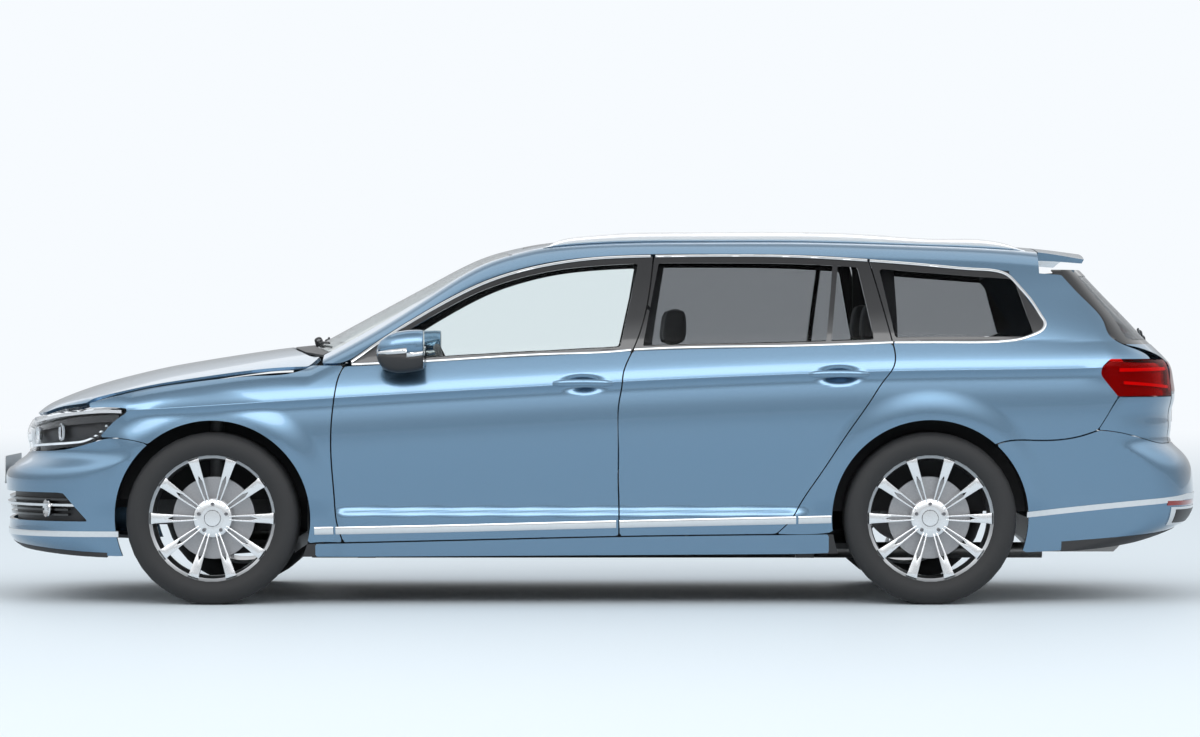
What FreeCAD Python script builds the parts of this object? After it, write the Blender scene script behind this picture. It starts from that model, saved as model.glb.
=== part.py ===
"""A five-door station wagon, built as separate panels, glass, running gear and seats.

X runs from the nose to the tail, Y to the right-hand side, Z up. The origin is on the ground under
the middle of the overall length. Lengths are millimetres. The outer shape is four smooth surfaces,
side, top, nose and tail, blended into one skin, and every painted panel is a wall under that skin.
"""
import FreeCAD, Part
import math
import os

Vector = FreeCAD.Vector
doc = FreeCAD.newDocument("station_wagon")
sheet = doc.addObject("Spreadsheet::Sheet", "Sizes")

SIZES = {
    "Length": 4767, "FrontOverhang": 882, "Wheelbase": 2791, "Width": 1832,
    "RoofHeight": 1440, "CowlHeight": 993, "CreaseHeight": 860, "BeltHeight": 1000, "SillBottom": 184,
    "RoofHalfWidth": 597, "BeltInset": 50,
    "TrackFront": 1584, "TrackRear": 1568,
    "TyreRadius": 335.3, "TyreWidth": 235, "RimRadius": 259, "RimBarrel": 236, "HubRadius": 78,
    "HubBore": 33, "SpokeCount": 10, "SpokeWidth": 15, "SpokeDepth": 26, "BoltCircle": 112, "DiscRadius": 156,
    "FrontArchRadius": 381, "RearArchRadius": 383, "ArchDrop": 28,
    "DoorThickness": 90, "FrameThickness": 38, "PanelThickness": 25, "RoofThickness": 22,
    "BonnetThickness": 20, "TailgateThickness": 60, "GlassThickness": 5,
    "ShutGap": 5.5, "SeamGap": 0.4,
    "HingeSetBack": 62, "HingeInset": 12,
    "EngineLength": 560, "EngineWidth": 640, "EngineHeight": 520,
    "SeatWidth": 500, "SteeringWheelRadius": 186, "ExhaustRadius": 32,
}
for row, (alias, value) in enumerate(SIZES.items(), 1):
    sheet.set(f"A{row}", alias)
    sheet.set(f"B{row}", str(value))
    sheet.setAlias(f"B{row}", alias)
doc.recompute()


def size(alias):
    return float(sheet.get(alias))


LENGTH = size("Length")
HALF_WIDTH = size("Width") / 2
ROOF = size("RoofHeight")
COWL = size("CowlHeight")
CREASE = size("CreaseHeight")
BELT = size("BeltHeight")
SILL = size("SillBottom")
GAP = size("ShutGap")
SEAM = size("SeamGap")
NOSE = -LENGTH / 2
FRONT_AXLE = NOSE + size("FrontOverhang")
REAR_AXLE = FRONT_AXLE + size("Wheelbase")
TAIL = LENGTH / 2
AXLE_HEIGHT = size("TyreRadius")
DOOR_WALL = size("DoorThickness")
FRAME_WALL = size("FrameThickness")
PANEL_WALL = size("PanelThickness")
FAR = 1300.0


def front(offset):
    """A place along the car, measured from the front axle."""
    return FRONT_AXLE + offset


def rear(offset):
    """A place along the car, measured from the rear axle."""
    return REAR_AXLE + offset


def fair(points):
    """A natural cubic spline through (place, value) points, straight beyond its ends."""
    places = [p[0] for p in points]
    values = [p[1] for p in points]
    last = len(points) - 1
    bend = [0.0] * (last + 1)
    run = [0.0] * (last + 1)
    for i in range(1, last):
        ratio = (places[i] - places[i - 1]) / (places[i + 1] - places[i - 1])
        weight = ratio * bend[i - 1] + 2
        bend[i] = (ratio - 1) / weight
        turn = (values[i + 1] - values[i]) / (places[i + 1] - places[i])
        turn -= (values[i] - values[i - 1]) / (places[i] - places[i - 1])
        run[i] = (6 * turn / (places[i + 1] - places[i - 1]) - ratio * run[i - 1]) / weight
    for i in range(last - 1, -1, -1):
        bend[i] = bend[i] * bend[i + 1] + run[i]
    bend[0] = 0.0

    def slope(i, at_end):
        gap = places[i + 1] - places[i]
        rise = (values[i + 1] - values[i]) / gap
        if at_end:
            return rise + gap * (bend[i] + 2 * bend[i + 1]) / 6
        return rise - gap * (2 * bend[i] + bend[i + 1]) / 6

    def value(place):
        if place <= places[0]:
            return values[0] + (place - places[0]) * slope(0, False)
        if place >= places[last]:
            return values[last] + (place - places[last]) * slope(last - 1, True)
        i = 0
        while places[i + 1] < place:
            i += 1
        gap = places[i + 1] - places[i]
        a = (places[i + 1] - place) / gap
        b = (place - places[i]) / gap
        sway = (a ** 3 - a) * bend[i] + (b ** 3 - b) * bend[i + 1]
        return a * values[i] + b * values[i + 1] + sway * gap * gap / 6

    return value


def blend_max(a, b, reach):
    """The larger of two values, rounded where they are closer than reach."""
    near = max(reach - abs(a - b), 0.0) / reach
    return max(a, b) + near * near * reach / 4


def ramp(value, low, high):
    t = min(max((value - low) / (high - low), 0.0), 1.0)
    return t * t * (3 - 2 * t)


# Long lines of the body: each is a height or an inset along the car.
plan_inset = fair([
    (front(-860), 128), (front(-700), 70), (front(-480), 36), (front(-200), 18), (front(100), 10),
    (front(600), 3), (front(1400), 0), (rear(-600), 2), (rear(-150), 7), (rear(200), 14),
    (rear(500), 32), (rear(750), 62), (rear(1060), 118),
])
crease_height = fair([
    (front(-330), CREASE - 107), (front(480), CREASE - 57), (front(1308), CREASE - 9),
    (rear(-1203), CREASE + 6), (rear(-510), CREASE + 36), (rear(-152), CREASE + 47),
    (rear(498), CREASE + 56), (rear(666), CREASE + 59), (rear(1050), CREASE + 60),
])
belt_height = fair([
    (front(330), BELT - 72), (front(530), BELT - 68), (front(826), BELT - 53), (front(987), BELT - 43),
    (front(1351), BELT - 24), (rear(-1067), BELT - 5), (rear(-586), BELT + 6), (rear(-148), BELT + 20),
    (rear(282), BELT + 24), (rear(1000), BELT + 26),
])
flank = fair([
    (-680, 50), (-560, 37), (-480, 30), (-390, 21), (-300, 11), (-215, 4), (-150, 1.5), (-95, 3), (-50, 6.5),
    (-22, 6), (8, 5.5), (40, 13), (82, 29), (131, 50), (200, 84),
])
tumblehome = fair([(-40, -10), (0, 0), (100, 35), (200, 86), (300, 150), (363, 198), (410, 238), (470, 300)])
end_inset = fair([
    (front(380), 14), (front(620), 3), (front(900), 0), (rear(0), 0), (rear(300), 6), (rear(500), 20),
    (rear(720), 50), (rear(900), 84),
])
bonnet_line = fair([
    (front(-781), COWL - 267), (front(-753), COWL - 247), (front(-640), COWL - 188),
    (front(-502), COWL - 139), (front(-361), COWL - 101), (front(-223), COWL - 70),
    (front(-110), COWL - 50), (front(92), COWL - 18), (front(253), COWL + 4), (front(420), COWL + 20),
])
roof_line = fair([
    (front(341), COWL), (front(590), COWL + 136), (front(843), COWL + 272), (front(1041), ROOF - 78),
    (front(1166), ROOF - 43), (front(1246), ROOF - 27), (front(1345), ROOF - 15), (front(1560), ROOF - 3),
    (front(1850), ROOF), (rear(-500), ROOF - 3), (rear(0), ROOF - 20), (rear(538), ROOF - 50),
    (rear(637), ROOF - 63),
])
cross_fall = fair([
    (front(-880), 62), (front(-500), 72), (front(0), 82), (front(255), 90), (front(600), 112),
    (front(950), 92), (front(1300), 62), (front(1900), 56), (rear(400), 58), (rear(620), 74),
])
nose_line = fair([
    (200, front(-800)), (235, front(-852)), (300, front(-868)), (400, front(-877)), (460, front(-881)),
    (505, front(-878)), (530, front(-860)), (566, front(-806)), (640, front(-796)), (726, front(-782)),
    (790, front(-752)), (900, front(-690)),
])
tail_line = fair([
    (150, rear(620)), (200, rear(760)), (240, rear(898)), (293, rear(1029)), (350, rear(1082)),
    (400, rear(1094)), (450, rear(1094)), (500, rear(1090)), (541, rear(1080)), (592, rear(1041)),
    (622, rear(1010)), (680, rear(1006)), (751, rear(1008)), (790, rear(1019)), (830, rear(1020)),
    (879, rear(1013)), (936, rear(997)), (1006, rear(931)), (1100, rear(842)), (1200, rear(745)),
    (1318, rear(632)), (1420, rear(530)),
])


def side(x, z):
    """Half the car's width at a place along it and a height."""
    crease = crease_height(x)
    belt = belt_height(x)
    inset = plan_inset(x)
    inset += flank(min(z, belt) - crease)
    if z > belt:
        inset += tumblehome(z - belt)
    inset += end_inset(x) * ramp(z, belt - 60, belt + 200)
    return HALF_WIDTH - inset


def top(x, y):
    """Height of the bonnet, windscreen and roof."""
    fall = cross_fall(x) * (abs(y) / 860) ** 2.3
    return blend_max(bonnet_line(x), roof_line(x), 8) - fall


def nose(y, z):
    return nose_line(z) + 0.00011 * y * y + 165 * (abs(y) / 800) ** 6


def tail(y, z):
    return tail_line(z) - 0.00008 * y * y - 110 * (abs(y) / 800) ** 6


def outside(x, y, z):
    """How far a point lies outside the skin, negative inside."""
    y = abs(y)
    over = blend_max(y - side(x, z), z - top(x, y), 56)
    ends = max(nose(y, z) - x, x - tail(y, z))
    return blend_max(over, ends, 66)


def skin_y(x, z):
    """Half-width of the finished skin at a place and height."""
    low, high = 0.0, 1150.0
    for _ in range(22):
        middle = (low + high) / 2
        if outside(x, middle, z) > 0:
            high = middle
        else:
            low = middle
    return low


def skin_z(x, y):
    """Height of the finished skin over a place on the plan."""
    low, high = 560.0, 1600.0
    for _ in range(22):
        middle = (low + high) / 2
        if outside(x, y, middle) > 0:
            high = middle
        else:
            low = middle
    return low


def skin_x(y, z, toward):
    """Place of the finished skin at the nose (toward -1) or the tail (toward 1)."""
    low, high = 1200.0, 2700.0
    for _ in range(22):
        middle = (low + high) / 2
        if outside(toward * middle, y, z) > 0:
            high = middle
        else:
            low = middle
    return toward * low


size_front_arch = size("FrontArchRadius")
size_rear_arch = size("RearArchRadius")
REAR_ARCH_Z = AXLE_HEIGHT - size("ArchDrop")


def steps(low, high, count):
    return [low + (high - low) * i / (count - 1) for i in range(count)]


def side_grid(left, right, low, high, across=7, count=8, inset=0.0):
    """Skin points of a side panel between two upright lines, place over height, and two long ones."""
    grid = []
    for u in steps(0.0, 1.0, across):
        stack = []
        for v in steps(0.0, 1.0, count):
            x = left(low(left(600))) * (1 - u) + right(low(right(600))) * u
            for _ in range(9):
                z = low(x) * (1 - v) + high(x) * v
                x = left(z) * (1 - u) + right(z) * u
            stack.append(Vector(x, inset - skin_y(x, z), z))
        grid.append(stack)
    return grid


def slab(outer, inner):
    """Solid between two like grids of points, closed by walls round their four edges."""
    rows = len(outer) - 1
    columns = len(outer[0]) - 1
    quads = []
    for i in range(rows):
        for k in range(columns):
            quads.append((outer[i][k], outer[i + 1][k], outer[i + 1][k + 1], outer[i][k + 1]))
            quads.append((inner[i][k], inner[i][k + 1], inner[i + 1][k + 1], inner[i + 1][k]))
    for i in range(rows):
        quads.append((outer[i][0], inner[i][0], inner[i + 1][0], outer[i + 1][0]))
        quads.append((outer[i][columns], outer[i + 1][columns], inner[i + 1][columns], inner[i][columns]))
    for k in range(columns):
        quads.append((outer[0][k], outer[0][k + 1], inner[0][k + 1], inner[0][k]))
        quads.append((outer[rows][k], inner[rows][k], inner[rows][k + 1], outer[rows][k + 1]))
    faces = []
    for a, b, c, d in quads:
        for corners in ((a, b, c), (a, c, d)):
            if (corners[1] - corners[0]).cross(corners[2] - corners[0]).Length > 1e-3:
                faces.append(Part.Face(Part.makePolygon(list(corners) + [corners[0]])))
    shell = Part.makeShell(faces)
    shell.sewShape()
    solid = Part.makeSolid(shell)
    if solid.Volume < 0:
        solid.reverse()
    return solid


def inward(grid, depth, front_draft=0.0, rear_draft=0.0):
    """The same grid further inside, its ends drawn in by the drafts."""
    last = len(grid) - 1
    moved = []
    for i, stack in enumerate(grid):
        shift = depth * (front_draft * (1 - i / last) ** 2 - rear_draft * (i / last) ** 2)
        moved.append([p + Vector(shift, depth, 0) for p in stack])
    return moved


def side_wall(grid, depth, front_draft=0.0, rear_draft=0.0):
    return slab(grid, inward(grid, depth, front_draft, rear_draft))


def side_prism(points, outer=1000.0, inner=300.0):
    """Solid across the left side from a side-view outline of smooth runs of (x, z) points."""
    runs = [[Vector(x, -outer, z) for x, z in run] for run in points]
    face = Part.Face(wire(runs))
    return face.extrude(Vector(0, outer - inner, 0))


def side_block(outline, outer=1000.0, inner=300.0):
    """Solid across the left side from a straight-edged side-view outline of (x, z) points."""
    ring = [Vector(x, -outer, z) for x, z in outline]
    return Part.Face(Part.makePolygon(ring + [ring[0]])).extrude(Vector(0, outer - inner, 0))


def top_grid(left, right, low, high, across=20, count=20, crowding=1.0, edging=1.0):
    """Skin points of a top panel. low and high give its ends as places over Y; left and right its sides."""
    grid = []
    for i in range(across):
        t = 2 * i / (across - 1) - 1
        u = (1 + math.copysign(1 - (1 - abs(t)) ** edging, t)) / 2
        row = []
        for k in range(count):
            v = (k / (count - 1)) ** crowding
            y = 0.0
            x = 0.0
            for _ in range(40):
                x = low(y) * (1 - v) + high(y) * v
                y = (2 * y + left(x) * (1 - u) + right(x) * u) / 3
            row.append(Vector(x, y, skin_z(x, y)))
        grid.append(row)
    return grid


def end_grid(toward, half, heights, across=9, drop=0.0):
    """Skin points of a tail panel whose half-width is a line over height, more of them at its sides."""
    grid = []
    for t in steps(-1.0, 1.0, across):
        u = math.copysign(1 - (1 - abs(t)) ** 1.7, t)
        grid.append([Vector(skin_x(half(z) * u, z, toward) - toward * drop, half(z) * u, z) for z in heights])
    return grid


def shifted(grid, move):
    return [[p + move for p in row] for row in grid]


def edge(points):
    if len(points) == 2:
        return Part.makeLine(points[0], points[1])
    curve = Part.BSplineCurve()
    curve.interpolate(points)
    return curve.toShape()


def wire(runs):
    """A closed wire of smooth runs that share their end points."""
    return Part.Wire([edge(run) for run in runs])


def sound(shape):
    """The shape without the crumbs a cut may leave."""
    largest = max(s.Volume for s in shape.Solids)
    kept = [s for s in shape.Solids if s.Volume > largest / 200]
    return kept[0] if len(kept) == 1 else Part.makeCompound(kept)


def mirrored(shape):
    return shape.mirror(Vector(0, 0, 0), Vector(0, 1, 0))


def box(x0, x1, y0, y1, z0, z1):
    return Part.makeBox(x1 - x0, y1 - y0, z1 - z0, Vector(x0, y0, z0))


def both_sides(shape):
    return Part.makeCompound([shape, mirrored(shape)])


def piece(name, shape, place=Vector(0, 0, 0)):
    """One sub-part: its name is its label and its file's name."""
    feature = doc.addObject("Part::Feature", name)
    feature.Shape = sound(shape)
    feature.Label = name
    feature.Placement = FreeCAD.Placement(place, FreeCAD.Rotation())
    return feature


# Shut lines seen from the side: places as a function of height, heights as a function of place.
front_shut = fair([
    (SILL + 68, front(508)), (SILL + 134, front(487)), (SILL + 220, front(478)), (SILL + 336, front(469)),
    (SILL + 430, front(464.5)), (SILL + 547, front(468.5)), (SILL + 642, front(480.5)),
    (SILL + 721, front(501.5)), (SILL + 760, front(524)),
])
middle_shut = fair([
    (SILL + 88, front(1577)), (SILL + 215, front(1576)), (SILL + 302, front(1575)), (SILL + 418, front(1575)),
    (SILL + 612, front(1578)), (SILL + 667, front(1584)), (SILL + 718, front(1597)),
    (SILL + 802, front(1628)), (SILL + 1169, front(1714)),
])
rear_shut = fair([
    (SILL + 92, rear(-602)), (SILL + 135, rear(-555)), (SILL + 202, rear(-512)), (SILL + 324, rear(-431)),
    (SILL + 487, rear(-323)), (SILL + 614, rear(-234)), (SILL + 687, rear(-185)), (SILL + 735, rear(-150)),
    (SILL + 784, rear(-140)), (SILL + 839, rear(-150)), (SILL + 1158, rear(-233)),
])
door_bottom = fair([
    (front(480), SILL + 59), (front(1000), SILL + 71), (front(1560), SILL + 84), (rear(-600), SILL + 92),
])
window_top = fair([
    (front(529.5), COWL - 52), (front(662), COWL + 40), (front(782), COWL + 117), (front(917), COWL + 195),
    (front(1045), COWL + 258), (front(1175), ROOF - 144), (front(1349), ROOF - 106), (front(1466), ROOF - 93),
    (front(1714), ROOF - 81), (rear(-800), ROOF - 80), (rear(-500), ROOF - 84), (rear(-233), ROOF - 100),
    (rear(55), ROOF - 123), (rear(265), ROOF - 139),
])
window_foot = fair([
    (front(529.5), BELT - 66), (front(826), BELT - 51), (front(1351), BELT - 22), (rear(-1067), BELT - 3),
    (rear(-586), BELT + 8), (rear(-148), BELT + 22), (rear(282), BELT + 25), (rear(480), BELT + 62),
])
bonnet_side = fair([
    (front(-620), COWL - 232), (front(-472), COWL - 202), (front(-279), COWL - 154), (front(-86), COWL - 124),
    (front(171), COWL - 99), (front(345), COWL - 77), (front(372), COWL - 64), (front(419), COWL - 19),
])
screen_edge = fair([
    (front(341), 742), (front(500), 712), (front(700), 668), (front(900), 629), (front(1070), 603),
    (front(1250), size("RoofHalfWidth")), (rear(-1000), size("RoofHalfWidth")),
    (rear(300), size("RoofHalfWidth")), (rear(460), 590),
])


def along(line, places):
    """Points (place, height) on a line given as height over place."""
    return [(x, line(x)) for x in places]


def up(line, heights):
    """Points (place, height) on a line given as place over height."""
    return [(line(z), z) for z in heights]


WIDEST = HALF_WIDTH - 2
FRONT_DRAFT = 0.66
REAR_DRAFT = 0.32
POST_LEAN = 22.0
FRAME_WIDTH = 34.0
PANE_INSET = 16.0


def push(line, shift):
    """The same line moved along by a shift."""
    return lambda place: line(place) + shift


def slanted(foot, head):
    """Place over height on a straight line between two (x, z) points."""
    return lambda z: foot[0] + (head[0] - foot[0]) * (z - foot[1]) / (head[1] - foot[1])


def window_sides(x_front, x_rear, lean_front, lean_rear):
    foot_z, head_z = BELT, ROOF - 115
    return (
        slanted((x_front, foot_z), (x_front + lean_front, head_z)),
        slanted((x_rear, foot_z), (x_rear + lean_rear, head_z)),
    )


def window_hole(left, right, foot, head):
    """Side-view outline of an opening between two upright and two long lines."""
    corners = []
    for upright, long_line in ((left, foot), (right, foot), (right, head), (left, head)):
        z = long_line(upright(BELT))
        for _ in range(12):
            x = upright(z)
            z = long_line(x)
        corners.append((x, z))
    a, b, c, d = corners
    low = [(x, foot(x)) for x in steps(a[0], b[0], 5)]
    high = [(x, head(x)) for x in steps(c[0], d[0], 8)]
    low[0], low[-1], high[0], high[-1] = a, b, c, d
    return [low, [b, c], high, [d, a]]


def door(left, right, low, upper_left, upper_right, window):
    """A door: deep below the belt, a thinner window frame above it, set 2 mm in at the belt."""
    grid = side_grid(left, right, low, belt_height)
    inner = inward(grid, DOOR_WALL, FRONT_DRAFT, REAR_DRAFT)
    panel = slab(grid, [[Vector(p.x, DOOR_WALL - HALF_WIDTH, p.z) for p in stack] for stack in inner])
    root = push(belt_height, -POST_LEAN)
    upper = side_grid(upper_left, upper_right, root, window_top, 9, 4, 2.0)
    frame = side_wall(upper, FRAME_WALL, 0.1, REAR_DRAFT)
    w_left, w_right = window
    hole = side_prism(window_hole(w_left, w_right, window_sill, window_head))
    return panel.fuse(frame.cut(hole))


def pane(window, thickness, inset, seam):
    """Window glass that fills its hole but for the seam."""
    w_left, w_right = window
    grid = side_grid(push(w_left, seam), push(w_right, -seam), push(window_sill, seam), push(window_head, -seam),
                     6, 4, inset)
    return side_wall(grid, thickness)


window_sill = push(belt_height, 12)
window_head = push(window_top, -FRAME_WIDTH)
front_window = window_sides(front(745), front(1585), 20, 70)
rear_window = window_sides(front(1672), rear(-212), 64, -66)
POST_JOINT = 9.0
DOOR_JOINT = GAP + 8
front_door = door(front_shut, middle_shut, door_bottom, lambda z: max(front_shut(z), front(545)),
                  push(middle_shut, -3.0), front_window)
rear_door = door(push(middle_shut, DOOR_JOINT), rear_shut, door_bottom, push(middle_shut, GAP + POST_JOINT), rear_shut,
                 rear_window)
door_edge = up(rear_shut, steps(SILL + 40, ROOF - 60, 30))
rear_door = rear_door.cut(side_block(door_edge + [(rear(100), ROOF - 60), (rear(100), SILL + 40)]))


def handle(x_front, x_rear, z):
    """Pull bar on two short stems."""
    middle = (x_front + x_rear) / 2
    y = -skin_y(middle, z)
    bar = box(x_front, x_rear, y - 32, y - 16, z - 12, z + 14)
    bar = bar.makeChamfer(5, [e for e in bar.Edges if e.Length > 100])
    stems = [box(x, x + 26, y - 22, y + 30, z - 9, z + 9) for x in (x_front + 10, x_rear - 40)]
    return bar.multiFuse(stems)


front_door = front_door.fuse(handle(front(1325), front(1555), CREASE - 2))
rear_door = rear_door.fuse(handle(rear(-470), rear(-245), CREASE + 33))
piece("front_door_left", front_door)
piece("front_door_right", mirrored(front_door))
piece("rear_door_left", rear_door)
piece("rear_door_right", mirrored(rear_door))
for name, window in (("front_door_glass", front_window), ("rear_door_glass", rear_window)):
    glass = pane(window, size("GlassThickness"), PANE_INSET, 2 * SEAM)
    piece(name + "_left", glass)
    piece(name + "_right", mirrored(glass))


def mirror_housing():
    """Rear-view mirror on its foot at the corner of the door."""
    x_front, x_rear = front(645), front(826)
    shell = []
    for x, y0, y1, z0, z1 in ((x_front, 925, 1000, 935, 1025), (x_front + 45, 912, 1020, 912, 1050),
                              (x_front + 130, 906, 1036, 898, 1062), (x_rear, 908, 1034, 902, 1060)):
        ring = [Vector(x, -y0, z0 + 14), Vector(x, -y0 - 14, z0), Vector(x, -y1 + 26, z0), Vector(x, -y1, z0 + 30),
                Vector(x, -y1, z1 - 40), Vector(x, -y1 + 40, z1), Vector(x, -y0 - 14, z1), Vector(x, -y0, z1 - 14)]
        shell.append(Part.makePolygon(ring + [ring[0]]))
    body = Part.makeLoft(shell, True, True)
    root = max(skin_y(x, z) for x in (x_front + 40, x_front + 120) for z in (908, 930)) + SEAM
    foot = box(x_front + 40, x_front + 120, -960, -root, 908, 930)
    return body.fuse(foot)


mirror_left = mirror_housing()
piece("mirror_left", mirror_left)
piece("mirror_right", mirrored(mirror_left))


def arch(axle, radius, half_depth=1000.0, lift=0.0):
    """The round space that a wheel turns in."""
    return Part.makeCylinder(radius, half_depth, Vector(axle, -half_depth, AXLE_HEIGHT + lift), Vector(0, 1, 0))


# Rear edge of the side panels, place over height, and the lower edges along the car.
rear_edge = fair([
    (SILL + 490, rear(648)), (SILL + 566, rear(696)), (SILL + 627, rear(735)), (SILL + 690, rear(800)),
    (SILL + 740, rear(852)), (SILL + 776, rear(866)), (SILL + 800, rear(830)), (SILL + 825, rear(762)),
    (SILL + 916, rear(684)), (SILL + 1016, rear(600)), (SILL + 1106, rear(520)), (SILL + 1196, rear(440)),
])
quarter_foot = fair([
    (rear(-600), SILL + 92), (rear(-420), SILL + 93), (rear(-330), SILL + 120), (rear(-190), SILL + 260),
    (rear(0), SILL + 350), (rear(190), SILL + 410), (rear(270), SILL + 448), (rear(400), SILL + 458),
    (rear(592), SILL + 476), (rear(655), SILL + 497),
])
wing_foot = fair([
    (front(-445), SILL + 467), (front(-330), SILL + 460), (front(-100), SILL + 380), (front(150), SILL + 200),
    (front(300), SILL + 62), (front(400), SILL + 58), (front(500), SILL + 59),
])


def quarter_panel():
    """Rear wing and rear pillar, with the quarter window and the wheel arch cut."""
    grid = side_grid(push(rear_shut, GAP), rear_edge, quarter_foot, push(window_top, GAP * 0.9), 11, 10)
    wall = side_wall(grid, 40, -REAR_DRAFT, 1.0)
    wall = wall.cut(arch(REAR_AXLE, size_rear_arch))
    left, right = quarter_window
    return wall.cut(side_prism(window_hole(left, right, push(window_sill, 6), window_head)))


quarter_window = (slanted((rear(-128), BELT), (rear(-195), ROOF - 115)), slanted((rear(420), BELT), (rear(318), ROOF - 115)))


def tail_lamp_prism():
    tip = [(rear(658), CREASE + 63), (rear(660), CREASE + 33), (rear(728), CREASE - 54)]
    low = [tip[-1], (rear(1100), CREASE - 56)]
    back = [low[-1], (rear(1100), CREASE + 101)]
    high = [back[-1], (rear(800), CREASE + 100), (rear(700), CREASE + 97), tip[0]]
    return side_prism([tip[:2], tip[1:], low, back, high[:2], high[1:3], high[2:]], 1000, 300)


door_edge = up(push(rear_shut, GAP), steps(SILL + 40, ROOF - 60, 30))
behind_door = side_block(door_edge + [(rear(-900), ROOF - 60), (rear(-900), SILL + 40)])
quarter = quarter_panel().cut(tail_lamp_prism()).cut(behind_door)
left, right = quarter_window
grid = side_grid(push(left, SEAM), push(right, -SEAM), push(window_sill, 6 + SEAM), push(window_head, -SEAM), 6, 4, 6.0)
quarter_glass = side_wall(grid, size("GlassThickness"))
piece("quarter_glass", both_sides(quarter_glass))


def section_fan(x, z_low, y_top, count):
    """Skin points in one cross-section from a height on the side to a half-width on the top."""
    foot = (skin_y(x, z_low), z_low)
    head = (y_top, skin_z(x, y_top))
    heart = (head[0] * 0.7, foot[1] - 60)
    first = math.atan2(foot[1] - heart[1], foot[0] - heart[0])
    final = math.atan2(head[1] - heart[1], head[0] - heart[0])
    stack = []
    for turn in steps(first, final, count):
        low, high = 0.0, 900.0
        for _ in range(22):
            middle = (low + high) / 2
            if outside(x, heart[0] + middle * math.cos(turn), heart[1] + middle * math.sin(turn)) > 0:
                high = middle
            else:
                low = middle
        stack.append(Vector(x, -heart[0] - low * math.cos(turn), heart[1] + low * math.sin(turn)))
    return stack


def roof_side():
    """Windscreen pillar and roof rail: its inner face drops with depth to seat the roof."""
    low = lambda x: blend_max(window_top(x), COWL - 62, 30) + GAP * 1.25
    grid = []
    for i in range(14):
        z = low(front(426) + (rear(440) - front(426)) * i / 13)
        for _ in range(6):
            x = front(426) * (1 - i / 13) + rear_edge(z) * i / 13
            z = low(x)
        grid.append(section_fan(x, z, screen_edge(x), 5))
    last = len(grid[0]) - 1
    inner = []
    for i, row in enumerate(grid):
        drop = min(28.0, (row[last].z - row[0].z) / 2)
        setback = 40 * ramp(i, len(grid) - 5, len(grid) - 1)
        inner.append([p + Vector(-setback, 40 * drop / 28, -drop * ramp(k, 0, last)) for k, p in enumerate(row)])
    return slab(grid, inner)




def bonnet_edge_y(x):
    return skin_y(x, bonnet_side(x))


bonnet_plan = fair([(x, bonnet_edge_y(x)) for x in steps(front(-640), front(345), 10)] + [
    (front(385), bonnet_edge_y(front(385))), (front(419), bonnet_edge_y(front(419)))])


def wing():
    """Front wing, cut for the wheel, the headlamp and the edge of the bonnet."""
    nose_edge = slanted((front(-440), SILL + 466), (front(-488), COWL - 205))
    grid = []
    for u in steps(0.0, 1.0, 10):
        stack = []
        for v in steps(0.0, 1.0, 5):
            x = front(0)
            for _ in range(9):
                z = wing_foot(x) * (1 - v) + (crease_height(x) - 10) * v
                x = nose_edge(z) * (1 - u) + (front_shut(z) - GAP) * u
            stack.append(Vector(x, -skin_y(x, z), z))
        z = crease_height(x) - 10
        y_top = blend_max(bonnet_plan(x) + GAP + 1, skin_y(x, COWL - 64), 8)
        for v in steps(0.0, 1.0, 5)[1:]:
            z_goal = z + (skin_z(x, y_top) - z) * v
            place = nose_edge(z_goal) * (1 - u) + (front_shut(z_goal) - GAP) * u
            stack.append(section_fan(place, z, blend_max(bonnet_plan(place) + GAP + 1, skin_y(place, COWL - 64), 8), 5)
                         [round(4 * v)])
        grid.append(stack)
    last = len(grid[0]) - 1
    inner = [[p + Vector(0, PANEL_WALL, -PANEL_WALL * ramp(k / last, 0.4, 1.0)) for k, p in enumerate(row)]
             for row in grid]
    return slab(grid, inner).cut(arch(FRONT_AXLE, size_front_arch))


def top_panel(left, right, low, high, thickness, narrowing=0.0, across=20, count=20, front_draft=0.0, crowding=1.0, edging=1.0):
    """Panel under the top skin; its lower face is narrower, and set back at its front edge."""
    grid = top_grid(left, right, low, high, across, count, crowding, edging)
    half = [abs(p.y) for p in grid[0]]
    inner = []
    for row in grid:
        inner.append([Vector(p.x + front_draft * (1 - k / (count - 1)) ** 3, p.y * (1 - narrowing / half[k]),
                             p.z - thickness) for k, p in enumerate(row)])
    return slab(grid, inner)


bonnet_rear = lambda y: front(253) + 163 * (y / 740) ** 2
screen_foot = lambda y: front(352) + 100 * (y / 740) ** 2
bonnet = top_panel(lambda x: -bonnet_plan(x), bonnet_plan, lambda y: nose(y, COWL - 257) + 24,
                   bonnet_rear, size("BonnetThickness"), 20, 11, 9, 40, 1.6, 1.8)
piece("bonnet", bonnet)


def grown(grid, growth, lift, across_axis):
    """A grid widened by growth about the centre plane and moved out along an axis."""
    half = [abs(p.y) for p in grid[0]]
    return [[Vector(p.x, p.y * (1 + growth / half[k]), p.z) + across_axis * lift for k, p in enumerate(row)]
            for row in grid]


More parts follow.
